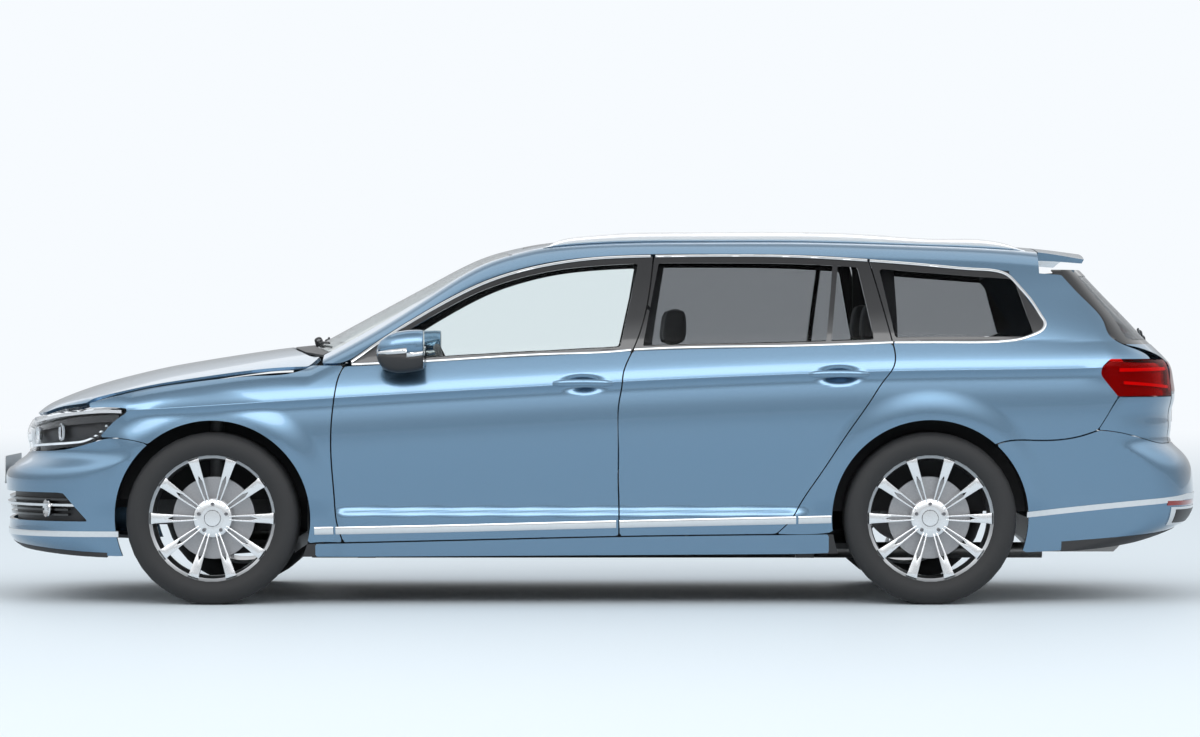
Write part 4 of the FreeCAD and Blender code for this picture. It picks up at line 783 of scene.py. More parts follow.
side_pair("quarter_window_border_{}", "body", "gloss_black", piano_black,
          with_depth(upper_sheet(rear(-250), rear(480), quarter_border, 4.0, 10.0), 12))

QUARTER_ROWS = np.concatenate([CREASE_ROWS, spaced(342, 530, 12)])
side_pair("quarter_{}", "body", "body_paint", paint,
          with_depth(side_sheet(rear(-610), rear(880), quarter_kept, rows=QUARTER_ROWS), 26),
          "quarter_panel_{}")
pane = upper_sheet(rear(-250), rear(440), lambda p: quarter_opening(p) + PANE_JOINT, 6.0)
for hand, given in both_ways(with_depth(pane, 4)):
    settle(shell_object("quarter_pane_" + hand, *given), "body", "privacy_glass", privacy_glass)
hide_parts("quarter_glass")


ROOF_END = rear(438)
ROOF_JOINT = 0.4


def roof_side_line(x):
    return blend_max(window_top(x), COWL - 62, 30) + GAP * 1.25


def roof_side_sheet():
    """Windscreen pillar and roof side, drawn on rays across the car so that it turns smoothly over."""
    def place(x, turn):
        line = roof_side_line(x)
        y0 = screen_edge(x) - 95
        z0 = line - 60
        cosine, sine = np.cos(np.radians(turn)), np.sin(np.radians(turn))
        reach = pierce(lambda r: outside(x, y0 + r * cosine, z0 + r * sine), np.zeros(len(x)),
                       np.full(len(x), 900.0))
        return np.stack([x, -(y0 + reach * cosine), z0 + reach * sine], 1)

    def kept(p):
        x, z = p[:, 0], p[:, 2]
        high = roof_side_line(x)
        lower = np.where(x > rear(-140), window_top(x) + 2, high) - z
        return np.maximum.reduce([lower, screen_edge(x) + p[:, 1] + ROOF_JOINT, front(426) - x,
                                  x - rear_edge(z), x - ROOF_END])

    stations, turns = spaced(front(420), rear(446), 14), spaced(0, 100, 2.5)
    return tidy_sheet(*trimmed(stations, turns, place, kept), merge=0.4)


side_pair("roof_side_{}", "body", "body_paint", paint, with_thickness(roof_side_sheet(), 12), "roof_side_{}")

# Sills.
sill_foot = lambda x: SILL + 2 + (x - front(395)) * 0.006


def sill_kept(p):
    x, z = p[:, 0], p[:, 2]
    low = most(sill_foot(x) - z, z - door_bottom(x) + GAP, front(400) - x, x - rear(-395))
    return np.maximum.reduce([low, arch_field(x, z, FRONT_AXLE, FRONT_ARCH),
                              arch_field(x, z, REAR_AXLE, REAR_ARCH)])


side_pair("sill_{}", "body", "body_paint", paint,
          with_depth(side_sheet(front(330), rear(-330), sill_kept, rows=spaced(-700, -500, 8)), 60))


def top_sheet(x_low, x_high, half, kept, step=20.0):
    """Trimmed sheet of the bonnet, screen or roof."""
    def place(x, y):
        return np.stack([x, y, skin_z(x, y)], 1)
    return tidy_sheet(*trimmed(spaced(x_low, x_high, step), spaced(-half, half, 2 * half / 61), place, kept))


def one(name, body, slot, finish, sheet, *nodes):
    return settle(shell_object(name, *sheet), body, slot, finish, *nodes)


edge_places = np.append(np.linspace(front(-640), front(345), 10), [front(385), front(419)])
bonnet_plan = fair(list(zip(edge_places, skin_y(edge_places, bonnet_side(edge_places)))))
bonnet_rear = lambda y: front(253) + 163 * (y / 740) ** 2
screen_foot = lambda y: front(352) + 100 * (y / 740) ** 2
screen_top = lambda y: front(1100) + 60 * (y / 600) ** 2


def bonnet_kept(p):
    x, y = p[:, 0], p[:, 1]
    return most(np.abs(y) - bonnet_plan(x), x - bonnet_rear(y), nose(y, COWL - 257) + 24 - x)


one("bonnet_skin", "bonnet", "body_paint", paint,
    with_thickness(top_sheet(front(-790), front(430), 800, bonnet_kept, 12), 14), "bonnet")


SUNROOF = (front(1200), front(1960), 440.0)


def sunroof_field(p):
    """Negative inside the glass panel of the roof."""
    return most(SUNROOF[0] - p[:, 0], p[:, 0] - SUNROOF[1], np.abs(p[:, 1]) - SUNROOF[2])


def roof_kept(p):
    x, y = p[:, 0], p[:, 1]
    whole = np.maximum.reduce([np.abs(y) - screen_edge(x) + ROOF_JOINT, screen_top(y) + ROOF_JOINT - x,
                               x - ROOF_END])
    return np.maximum(whole, -sunroof_field(p))


one("roof_skin", "body", "body_paint", paint,
    with_thickness(top_sheet(front(1090), rear(446), 610, roof_kept, 14), 14), "roof_panel")
one("glass_roof", "body", "privacy_glass", privacy_glass,
    with_thickness(top_sheet(SUNROOF[0] - 10, SUNROOF[1] + 10, 450, lambda p: sunroof_field(p) + 1.5, 24), 5),
    "sunroof_glass")


def screen_kept(p):
    x, y = p[:, 0], p[:, 1]
    return np.maximum.reduce([np.abs(y) - screen_edge(x) + ROOF_JOINT, screen_foot(y) - x, x - screen_top(y)])


def clear_of_edges(p):
    """Negative where the windscreen is see-through, inside its black border."""
    x, y = p[:, 0], p[:, 1]
    return most(np.abs(y) - screen_edge(x) + 42, screen_foot(y) + 60 - x, x - screen_top(y) + 110)


one("windscreen_pane", "body", "window_glass", clear_glass,
    with_thickness(top_sheet(front(345), front(1170), 750, screen_kept, 14), 5), "windscreen")
points, faces, normals = top_sheet(front(345), front(1170), 750,
                                   lambda p: np.maximum(screen_kept(p) + 1, -clear_of_edges(p)), 14)
one("windscreen_border", "body", "gloss_black", piano_black,
    (points - normals * 6.5, faces, normals, points - normals * 8))

# Nose and tail: sheets on level rays that fan out from a point inside the body.


def ray_sheet(toward, angles, heights, kept, inset=0.0, across=1.5, upright=8.0):
    """Trimmed sheet round the nose (toward -1) or the tail (toward 1); positive angles lie on the left."""
    heart = NOSE_HEART if toward < 0 else TAIL_HEART

    def place(angle, z):
        return ray_skin(heart, toward, angle, z)

    turns, rows = spaced(*angles, across), spaced(*heights, upright)
    points, faces, normals = tidy_sheet(*trimmed(turns, rows, place, kept))
    return points - normals * inset, faces, normals


def strip(name, body, slot, finish, toward, angles, low, high, inset, depth):
    """Band between two heights over the angle, both sides of the car when its angles start above 0."""
    turn = nose_angle if toward < 0 else tail_angle

    def kept(p):
        angle = turn(p)
        return most(low(angle) - p[:, 2], p[:, 2] - high(angle))

    heights = (float(np.min(low(spaced(*angles, 2.0)))) - 9, float(np.max(high(spaced(*angles, 2.0)))) + 9)
    sheet = with_thickness(ray_sheet(toward, angles, heights, kept, inset, 1.5, 3.0), depth)
    if angles[0] < 0:
        one(name, body, slot, finish, sheet)
    else:
        side_pair(name + "_{}", body, slot, finish, sheet)


level = lambda height: (lambda angle: height + 0 * np.asarray(angle, float))

bumper_rim = fair([
    (0, 570), (20, 572), (38, 582), (52, 592), (66, 606), (73, 632), (78, 652), (88, 690),
])
bumper_foot = fair([(0, 226), (30, 222), (55, 206), (70, 192), (88, 184)])


def intake_field(p):
    """Negative inside the lower air intake, which runs round into the corners."""
    angle, z = nose_angle(p), p[:, 2]
    return most(z - 434, 322 - z, (angle - 65 - (434 - z) * 0.058) * 13)


def front_bumper_kept(p):
    """Negative where the front bumper is; the other _kept functions say the same of their pieces."""
    angle, x, z = nose_angle(p), p[:, 0], p[:, 2]
    head = -blend_max(-bumper_rim(angle), 3 - wing_foot(x), 6)
    return np.maximum.reduce([bumper_foot(angle) - z, z - head, arch_field(x, z, FRONT_AXLE, FRONT_ARCH),
                              -intake_field(p)])


one("front_bumper_skin", "body", "body_paint", paint,
    with_thickness(ray_sheet(-1, (-89, 89), (180, 700), front_bumper_kept), 16), "front_bumper")
one("lower_intake_mesh", "body", "gloss_black", satin_black,
    with_thickness(ray_sheet(-1, (-74, 74), (312, 446), lambda p: intake_field(p) - 7, 34), 6),
    "intake_grille")
for n, height in enumerate((346, 366, 406)):
    strip(f"intake_slat_{n}", "body", "gloss_black", piano_black, -1, (-66, 66), level(height - 4),
          level(height + 4), 10, 22)
strip("intake_blade", "body", "rail_metal", chrome, -1, (18, 70.4), level(380), level(390), 1, 26)
strip("front_lower_trim", "body", "rail_metal", chrome, -1, (16, 79), level(262), level(284), -2.5, 8)
strip("front_lip", "body", "black_plastic", grained_black, -1, (-76, 76), push(bumper_foot, -6),
      push(bumper_foot, 12), -1.5, 22)

# Grille: black backing and bright blades between the headlamps.
GRILLE = (-37.4, 37.4)
strip("grille_backing", "body", "gloss_black", piano_black, -1, GRILLE, level(576), level(724), 26, 6)
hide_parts("grille")
for n in range(5):
    height = 590 + n * 31
    strip(f"grille_blade_{n}", "body", "rail_metal", chrome, -1, GRILLE, level(height), level(height + 7),
          3, 20)
strip("grille_frame", "body", "gloss_black", piano_black, -1, GRILLE, level(574), level(582), 1, 26)

# Headlamps: clear lens over a dark housing with bright parts.
lens = ray_sheet(-1, (37.8, 84), (570, 780),
                 lambda p: np.maximum(lamp_field(p), (38 - nose_angle(p)) * 12), 0, 1.2, 6)
housing = (lens[0] - lens[2] * 42, lens[1], lens[2])
for hand, given in both_ways(with_thickness(lens, 3)):
    piece = settle(shell_object("headlamp_lens_" + hand, *given), "body", "lamp_glass", lens_glass)
    if hand == "left":
        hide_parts("headlamps")
for hand, given in both_ways(with_thickness(housing, 4)):
    settle(shell_object("headlamp_housing_" + hand, *given), "body", "gloss_black", satin_black)
for name, slot, coating, angles, low, high, inset, depth in (
        ("headlamp_brow", "lamp_glass", lamp_silver, (39, 80), push(lamp_head, -17), push(lamp_head, -4),
         7, 20),
        ("headlamp_guide", "lamp_glass", light_guide, (42, 76), push(lamp_foot, 12), push(lamp_foot, 20),
         9, 12),
        ("headlamp_guide_rise", "lamp_glass", light_guide, (42, 44.5), push(lamp_foot, 12),
         push(lamp_head, -40), 9, 12),
        ("headlamp_shelf", "gloss_black", piano_black, (39, 79), push(lamp_head, -52), push(lamp_head, -22),
         24, 10)):
    strip(name, "body", slot, coating, -1, angles, low, high, inset, depth)


def from_bmesh(name, mesh, sharp=40):
    data = bpy.data.meshes.new(name)
    mesh.to_mesh(data)
    mesh.free()
    data.polygons.foreach_set("use_smooth", [True] * len(data.polygons))
    data.set_sharp_from_angle(angle=math.radians(sharp))
    return made(name, data)


def turned(profile, centre, axis, segments=48):
    """Mesh spun from (radius, distance along the axis) points, closed at the ends that lie on the axis."""
    axis = Vector(axis).normalized()
    side_way = axis.orthogonal().normalized()
    other = axis.cross(side_way)
    mesh = bmesh.new()
    rings = []
    for radius, along in profile:
        middle = Vector(centre) + axis * along
        if radius < 1e-6:
            rings.append([mesh.verts.new(middle * MM)])
            continue
        ring = []
        for n in range(segments):
            turn = 2 * math.pi * n / segments
            spoke = side_way * math.cos(turn) + other * math.sin(turn)
            ring.append(mesh.verts.new((middle + spoke * radius) * MM))
        rings.append(ring)
    for a, b in zip(rings, rings[1:]):
        for n in range(segments):
            m = (n + 1) % segments
            quad = [a[n % len(a)], a[m % len(a)], b[m % len(b)], b[n % len(b)]]
            corners = list(dict.fromkeys(quad))
            if len(corners) > 2:
                mesh.faces.new(corners)
    bmesh.ops.recalc_face_normals(mesh, faces=mesh.faces)
    return mesh


RING_PROFILE = ((0, 0), (22, -2), (34, 6), (36, 14), (33, 16), (26, 8), (0, 6))
EYE_PROFILE = ((0, 8), (20, 9), (22, 12), (14, 20), (0, 23))
FOG_PROFILE = ((0, 0), (30, 0), (36, 8), (34, 14), (28, 12), (0, 16))


def lamp_spot(angle, height, depth, sign):
    """Place behind the nose's skin where a round lamp part sits."""
    spot = ray_skin(NOSE_HEART, -1, np.array([angle]), np.array([height]), depth)[0]
    spot[1] *= -sign
    return spot


for hand, sign in HANDS:
    for n, (angle, height) in enumerate(((50.0, 652.0), (62.0, 668.0))):
        spot = lamp_spot(angle, height, 34, sign)
        for part, profile, coating in (("ring", RING_PROFILE, lamp_silver), ("eye", EYE_PROFILE, lens_glass)):
            piece = from_bmesh(f"headlamp_{part}_{n}_{hand}", turned(profile, spot, (-1, sign * 0.35, 0)))
            settle(piece, "body", "lamp_glass", coating)
    fog = from_bmesh("fog_lamp_" + hand,
                     turned(FOG_PROFILE, lamp_spot(60.0, 372.0, 16, sign), (-1, sign * 0.5, 0)))
    settle(fog, "body", "lamp_glass", lamp_silver)

# Rear bumper and its corners.
rear_foot = fair([(0, 262), (25, 256), (45, 240), (60, 222), (75, 205), (95, 198)])


def rear_head(angle, x):
    return np.minimum(622 + 54 * ramp(angle, 44, 63), quarter_foot(x) - 6)


def rear_bumper_kept(p):
    angle, x, z = tail_angle(p), p[:, 0], p[:, 2]
    return np.maximum.reduce([rear_foot(angle) - z, z - rear_head(angle, x),
                              arch_field(x, z, REAR_AXLE, REAR_ARCH)])


def corner_kept(p):
    angle, x, z = tail_angle(p), p[:, 0], p[:, 2]
    head = -blend_max(-806, -806 + 28.5 * (angle - 58.4), 6)
    return np.maximum.reduce([rear_head(angle, x) + 3 - z, z - head, rear_edge(z) + 4 - x,
                              (TAILGATE_TURN - angle) * 12])


one("rear_bumper_skin", "body", "body_paint", paint,
    with_thickness(ray_sheet(1, (-97, 97), (194, 686), rear_bumper_kept), 16), "rear_bumper")
side_pair("rear_corner_{}", "body", "body_paint", paint,
          with_thickness(ray_sheet(1, (39, 66), (600, 820), corner_kept, 0, 1.2, 7), 12))
rear_trim = lambda angle: 426 - 66 * np.clip((np.asarray(angle, float) - 40) / 39, 0, 1.2)
strip("rear_lower_trim", "body", "rail_metal", chrome, 1, (14, 79), push(rear_trim, -22), rear_trim, -2.5, 8)
strip("rear_valance", "body", "black_plastic", grained_black, 1, (-70, 70), push(rear_foot, -5),
      push(rear_foot, 34), -2, 18)
strip("exhaust_frame", "body", "steel", chrome, 1, (22, 46), level(306), level(376), -4, 26)
strip("exhaust_mouth", "body", "steel", satin_black, 1, (24, 44.4), level(316), level(366), -5.5, 6)
strip("rear_reflector", "body", "tail_glass", reflector_red, 1, (32, 47), level(382), level(400), -3, 6)

# Tail lamps: red lens, lit blades and a dark back, on the body and on the tailgate.
lens = ray_sheet(1, (39, 64), (800, 960), tail_lamp_field, 0, 1.0, 5)
for hand, given in both_ways(with_thickness(lens, 3)):
    piece = settle(shell_object("tail_lamp_lens_" + hand, *given), "body", "tail_glass", red_lens)
    if hand == "left":
        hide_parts("tail_lamps")
for hand, given in both_ways(with_thickness((lens[0] - lens[2] * 22, lens[1], lens[2]), 5)):
    settle(shell_object("tail_lamp_back_" + hand, *given), "body", "tail_glass", reflector_red)
strip("tail_lamp_blade_low", "body", "tail_glass", lit_red, 1, (40, 57), lambda a: 838 + 1.1 * (a - 40),
      lambda a: 850 + 1.1 * (a - 40), 8, 6)
strip("tail_lamp_blade_high", "body", "tail_glass", lit_red, 1, (40, 58), lambda a: 912 - 0.4 * (a - 40),
      lambda a: 926 - 0.4 * (a - 40), 8, 6)

heights = np.array([620.0, 700.0, 800.0, 880.0, 950.0])
beside_lamp = -ray_skin(TAIL_HEART, 1, np.full(5, 39.0), heights)[:, 1] - GAP
PILLAR_FOOT = SILL + 826
pillar_half = float(skin_y(rear_edge(PILLAR_FOOT), np.array(PILLAR_FOOT))) - GAP
lower_half = fair(list(zip(heights, beside_lamp)) + [(PILLAR_FOOT, pillar_half)])
upper_places = spaced(PILLAR_FOOT, 1310, 20)
upper_half = fair(list(zip(upper_places, skin_y(rear_edge(upper_places), upper_places) - GAP)))


def tailgate_half(z):
    """Half-width of the tailgate: between the lamps, then along the rear pillars."""
    return np.where(z > PILLAR_FOOT, upper_half(z), lower_half(z))


def tail_sheet(heights, kept, inset=0.0, across=61, upright=10.0):
    """Trimmed sheet of the tailgate's face, from side to side."""
    def place(share, z):
        y = share * (tailgate_half(z) + 20)
        return np.stack([skin_x(y, z, 1), y, z], 1)
    shares, rows = np.linspace(-1, 1, across), spaced(*heights, upright)
    points, faces, normals = tidy_sheet(*trimmed(shares, rows, place, kept))
    return points - normals * inset, faces, normals


PAINT_TOP, GLASS_FOOT, GLASS_HEAD, BORDER = 1012.0, 1030.0, 1282.0, 42


def tailgate_painted(p):
    y, z = np.abs(p[:, 1]), p[:, 2]
    return most(y - tailgate_half(z), 628 - z, z - PAINT_TOP)


def tailgate_border(p):
    y, z = np.abs(p[:, 1]), p[:, 2]
    whole = np.maximum.reduce([y - tailgate_half(z), PAINT_TOP + 2 - z, z - 1306])
    return np.maximum(whole, -most(y - tailgate_half(z) + BORDER, GLASS_FOOT - z, z - GLASS_HEAD))


def tailgate_window(p):
    y, z = np.abs(p[:, 1]), p[:, 2]
    return most(y - tailgate_half(z) + BORDER, GLASS_FOOT - z, z - GLASS_HEAD) + PANE_JOINT


painted = tail_sheet((620, 1020), tailgate_painted)
one("tailgate_skin", "tailgate", "body_paint", paint,
    (*painted, painted[0] * np.array([1, 0.93, 1]) - np.array([46.0, 0, 0])), "tailgate")
border = tail_sheet((1006, 1312), tailgate_border, 2)
one("tailgate_window_frame", "tailgate", "gloss_black", piano_black,
    (*border, border[0] - np.array([40.0, 0, 0])))
one("tailgate_pane", "tailgate", "privacy_glass", privacy_glass,
    with_thickness(tail_sheet((1020, 1290), tailgate_window, 4), 4), "tailgate_glass")
for hand, sign in HANDS:
    def inner_lamp(p):
        y, z = p[:, 1] * sign, p[:, 2]
        return most(300 + (z - 815) * 0.35 - y, y - tailgate_half(z) + 3, 826 - z, z - 944)
    lens = tail_sheet((806, 960), inner_lamp, -1.0, 121, 6)
    one("tailgate_lamp_" + hand, "tailgate", "tail_glass", reflector_red, with_thickness(lens, 14))

# Spoiler over the rear window.
SPOILER = (ROOF_END + GAP, rear(644))


def spoiler_sheet():
    """Outer and inner sheet of the spoiler, which carries the roof's lines on over the rear window."""
    def place(x, share):
        y = (screen_edge(x) - GAP - 1) * share
        return np.stack([x - 18 * ramp(x, ROOF_END, SPOILER[1]) * (y / 600) ** 2, y, top(x, y)], 1)
    points, faces = trimmed(spaced(*SPOILER, 8), np.linspace(-1, 1, 61), place,
                            lambda p: np.full(len(p), -1.0))
    x, y = points[:, 0], points[:, 1]
    slopes = top(x - 2, y) - top(x + 2, y), top(x, y - 2) - top(x, y + 2)
    normals = np.stack([*slopes, np.full(len(x), 4.0)], 1)
    normals /= np.linalg.norm(normals, axis=1)[:, None]

    def faces_up(face):
        a, b, c = points[face[:3]]
        return np.cross(b - a, c - a)[2] > 0

    faces = [face if faces_up(face) else face[::-1] for face in faces]
    share = (points[:, 0] - SPOILER[0]) / (SPOILER[1] - SPOILER[0])
    inner = points - np.stack([10 * share, 0 * share, 34 - 20 * share], 1)
    return points, faces, normals, inner


one("roof_spoiler", "tailgate", "body_paint", paint, spoiler_sheet())

# Trims, handles, mirrors and rails.


def eased(points, count):
    """Evenly spaced points on a smooth curve through the given ones."""
    points = np.array(points, float)
    run = np.concatenate([[0], np.cumsum(np.linalg.norm(np.diff(points, axis=0), axis=1))])
    lines = [fair(list(zip(run, column))) for column in points.T]
    places = np.linspace(0, run[-1], count)
    return np.stack([line(places) for line in lines], 1)


def swept(name, path, up, section, sharp=35):
    """Closed bar along a path; section holds (along up, across) points, up a vector for each path point."""
    tangent = np.gradient(path, axis=0)
    tangent /= np.linalg.norm(tangent, axis=1)[:, None]
    up = up - tangent * np.sum(up * tangent, 1)[:, None]
    up /= np.linalg.norm(up, axis=1)[:, None]
    across = np.cross(tangent, up)
    mesh = bmesh.new()
    rings = []
    for n in range(len(path)):
        shape = section(n / (len(path) - 1)) if callable(section) else section
        rings.append([mesh.verts.new(Vector(path[n] + up[n] * a + across[n] * b) * MM) for a, b in shape])
    count = len(rings[0])
    for a, b in zip(rings, rings[1:]):
        for k in range(count):
            mesh.faces.new([a[k], a[(k + 1) % count], b[(k + 1) % count], b[k]])
    mesh.faces.new(rings[0][::-1])
    mesh.faces.new(rings[-1])
    bmesh.ops.recalc_face_normals(mesh, faces=mesh.faces)
    return from_bmesh(name, mesh, sharp)


def oval(half_up, half_across, count=12, power=0.7):
    """Section of a rounded bar."""
    shape = []
    for n in range(count):
        turn = 2 * math.pi * (n + 0.5) / count
        c, s = math.cos(turn), math.sin(turn)
        shape.append((half_up * math.copysign(abs(c) ** power, c),
                      half_across * math.copysign(abs(s) ** power, s)))
    return shape


def hands(make):
    """Makes a piece for the left and for the right; make gets the side's name and its sign of Y."""
    for hand, sign in HANDS:
        make(hand, sign)


def side_bar(name, body, line, height, proud, count=60):
    """Bright bar that follows the side of the car through (x, z) points, on the left and on the right."""
    flat = eased(line, count)
    path = np.stack([flat[:, 0], -skin_y(flat[:, 0], flat[:, 1]), flat[:, 1]], 1)
    up = outward(path)

    def make(hand, sign):
        flip = np.array([1.0, -sign, 1.0])
        bar = swept(name + "_" + hand, path * flip + up * flip * (proud - 3.0), up * flip,
                    oval(3.6, height / 2))
        settle(bar, body.format(hand), "rail_metal", chrome)
    hands(make)


side_bar("window_trim_front_top", "front_door_{}",
         [(-962, 944), (-900, 988), (-839, 1031), (-719, 1108), (-584, 1186), (-456, 1249), (-326, 1294),
          (-152, 1332), (-35, 1347), (204, 1358)], 12, 2)
side_bar("window_trim_front_foot", "front_door_{}",
         [(-960, 934), (-676, 947), (-515, 957), (-150, 976), (60, 985), (front(1629) - 2, 991)], 11, 2.5)
side_bar("window_trim_rear_top", "rear_door_{}",
         [(223, 1358), (486, 1360), (791, 1356), (rear(-236), 1341)], 12, 2)
side_bar("window_trim_rear_foot", "rear_door_{}",
         [(front(1636) + 4, 992), (222, 996), (703, 1006), (rear(-146), 1020)], 11, 2.5)
side_bar("window_trim_quarter", "body",
         [(rear(-226), 1340), (1200, 1330), (1344, 1317), (1480, 1306), (1560, 1299), (1604, 1282),
          (1640, 1245), (1689, 1185), (1730, 1118), (1741, 1092), (1732, 1072), (1705, 1055), (1642, 1033),
          (1571, 1024), (1350, 1021), (rear(-138), 1020)], 12, 2, 150)
STRIP_START, STRIP_END = -1105, 904
strip_line = fair([(STRIP_START, 287), (-499, 299.5), (-34, 311.5), (436, 322), (STRIP_END, 331.5)])
for label, body, x_low, x_high in (("wing", "body", STRIP_START, front(477) - GAP),
                                   ("front_door", "front_door_{}", front(481), front(1569)),
                                   ("rear_door", "rear_door_{}", front(1580) + 2, rear(-524)),
                                   ("quarter", "body", rear(-515), STRIP_END)):
    places = np.linspace(x_low, x_high, 6)
    side_bar("side_strip_" + label, body, list(zip(places, strip_line(places))), 30, 5, 40)


def handle(name, body, place, height):
    """Pull handle over its bowl in the door skin."""
    x = np.linspace(place - 116, place + 116, 30)
    t = np.linspace(-1, 1, 30)
    y = -(HALF_WIDTH - 4 - plan_inset(x) + 16 * (1 - t ** 4))
    path = np.stack([x, y, height + 6 - 4 * t ** 2], 1)
    up = np.tile([[0.0, -1.0, 0.12]], (30, 1))

    def section(share):
        t = 2 * share - 1
        grow = 0.55 + 0.45 * (1 - abs(t) ** 6)
        return oval(7.5 * grow, 14 * grow, 14, 0.8)

    def make(hand, sign):
        flip = np.array([1.0, -sign, 1.0])
        grip = swept(name + "_" + hand, path * flip, up * flip, section)
        settle(grip, body.format(hand), "body_paint", paint)
    hands(make)


handle("front_handle", "front_door_{}", *FRONT_HANDLE)
handle("rear_handle", "rear_door_{}", *REAR_HANDLE)

# Black divider in the rear door window.


def divider_kept(p):
    x, z = p[:, 0], p[:, 2]
    middle = slanted((893, 1008), (928, 1330))(z)
    return np.maximum.reduce([np.abs(x - middle) - 10, window_sill(x) - 6 - z, z - window_head(x) - 6])


side_pair("window_divider_{}", "rear_door_{}", "gloss_black", piano_black,
          with_depth(upper_sheet(870, 950, divider_kept, 5.0, 4.0), 14))


MIRROR_STATIONS = (
    (-860, 0.10), (-852, 0.42), (-838, 0.66), (-812, 0.86), (-780, 0.97), (-740, 1.0), (-700, 0.97),
    (-680, 0.93), (-676, 0.88),
)
MIRROR_Y, MIRROR_Z = 972, 976
CAP_FOOT, BAND_FOOT = 988, 972


def mirror_ring(x, share, sign, count=40):
    """Section of a mirror's housing across the car; share is its size there."""
    ring = []
    for n in range(count):
        turn = 2 * math.pi * n / count
        c, s = math.cos(turn), math.sin(turn)
        height = 88 if s > 0 else 76
        y = MIRROR_Y + 62 * share * math.copysign(abs(c) ** 0.72, c) + 6 * s
        z = MIRROR_Z + height * share * math.copysign(abs(s) ** 0.8, s) + 12 * (1 - share) + 0.1 * (x + 770)
        ring.append(Vector((x, sign * y, z)))
    return ring


def mirror(hand, sign):
    """Rear-view mirror: painted cap, bright band, black underside, glass and foot."""
    rings = [mirror_ring(x, share, sign) for x, share in MIRROR_STATIONS]
    parts = {"cap": bmesh.new(), "band": bmesh.new(), "base": bmesh.new()}
    for a, b in zip(rings, rings[1:]):
        for n in range(len(a)):
            m = (n + 1) % len(a)
            quad = [a[n], a[m], b[m], b[n]]
            z = sum(corner.z for corner in quad) / 4
            part = "cap" if z > CAP_FOOT else ("band" if z > BAND_FOOT else "base")
            mesh = parts[part]
            mesh.faces.new([mesh.verts.new(corner * MM) for corner in quad])
    for part, mesh in parts.items():
        bmesh.ops.remove_doubles(mesh, verts=mesh.verts, dist=0.00002)
        bmesh.ops.recalc_face_normals(mesh, faces=mesh.faces)
        middle = Vector((-760, sign * MIRROR_Y, 980)) * MM
        face = max(mesh.faces, key=lambda f: f.calc_area())
        if face.normal.dot(face.calc_center_median() - middle) < 0:
            bmesh.ops.reverse_faces(mesh, faces=mesh.faces)
        thing = from_bmesh(f"mirror_{part}_{hand}", mesh)
        wall = thing.modifiers.new("wall", "SOLIDIFY")
        wall.thickness = 0.003
        wall.offset = -1
        slot = "body_paint" if part == "cap" else "black_plastic"
        coating = {"cap": paint, "band": chrome, "base": satin_black}[part]
        settle(applied(thing), "front_door_" + hand, slot, coating)
        if part == "cap":
            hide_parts("mirror_" + hand)
    mesh = bmesh.new()
    rim = rings[-1]
    mesh.faces.new([mesh.verts.new(v * MM) for v in rim])
    mesh.faces.new([mesh.verts.new((v + Vector((-5, 0, 0))) * MM) for v in rim][::-1])
    bmesh.ops.bridge_loops(mesh, edges=[e for e in mesh.edges if e.is_boundary])
    bmesh.ops.recalc_face_normals(mesh, faces=mesh.faces)
    settle(from_bmesh("mirror_glass_" + hand, mesh), "front_door_" + hand, "rail_metal", chrome)
    foot = [(-800.0, sign * 868, 922), (-798, sign * 900, 924), (-790, sign * 930, 934),
            (-784, sign * 960, 952)]
    arm = swept("mirror_foot_" + hand, eased(foot, 10), np.tile([[0.0, 0.0, 1.0]], (10, 1)), oval(13, 42, 16))
    settle(arm, "front_door_" + hand, "black_plastic", satin_black)


def applied(thing):
    """The piece with its modifiers worked into its mesh."""
    graph = bpy.context.evaluated_depsgraph_get()
    data = bpy.data.meshes.new_from_object(thing.evaluated_get(graph))
    thing.modifiers.clear()
    thing.data = data
    data.polygons.foreach_set("use_smooth", [True] * len(data.polygons))
    return thing


hands(mirror)

rail_top = fair([
    (front(1279), ROOF - 56), (front(1335), ROOF - 23), (front(1433), ROOF - 3), (front(1564), ROOF + 8),
    (front(1793), ROOF + 14), (rear(-735), ROOF + 15), (rear(-220), ROOF + 5), (rear(62), ROOF - 12),
    (rear(342), ROOF - 40), (rear(396), ROOF - 64),
])


def roof_rail(hand, sign, count=90):
    x = np.linspace(front(1282), rear(394), count)
    foot = skin_z(x, np.full(count, 572.0)) - 3
    head = np.maximum(rail_top(x), foot + 4)
    path = np.stack([x, np.full(count, sign * 573.0), (foot + head) / 2], 1)
    half = (head - foot) / 2

    def section(share):
        n = int(round(share * (count - 1)))
        return [(a * half[n], b) for a, b in oval(1.0, 15.0, 16, 0.6)]

    bar = swept("roof_rail_" + hand, path, np.tile([[0.0, 0.0, 1.0]], (count, 1)), section, 50)
    rail = settle(bar, "body", "rail_metal", rail_silver)
    if hand == "left":
        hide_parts("roof_rails")


hands(roof_rail)

# Wipers on the windscreen and the rear window, blank plates and a plain tailgate handle.


WIPER_HUB = ((0, 0), (16, 0), (17, 6), (15, 24), (8, 29), (0, 30))


def wiper(name, body, places, face):
    """Wiper arm and blade lying a little over the glass, from its hub through (a, b) places on the face."""
    path, up = face(eased(places, 24))
    pieces = [
        swept(name + "_blade", path[7:] + up[7:] * 9, up[7:], oval(5, 3.5, 8)),
        swept(name + "_arm", path[:15] + up[:15] * 18, up[:15], oval(3.5, 7, 8)),
        from_bmesh(name + "_hub", turned(WIPER_HUB, path[0], up[0], 24)),
    ]
    for piece in pieces:
        settle(piece, body, "black_plastic", satin_black)


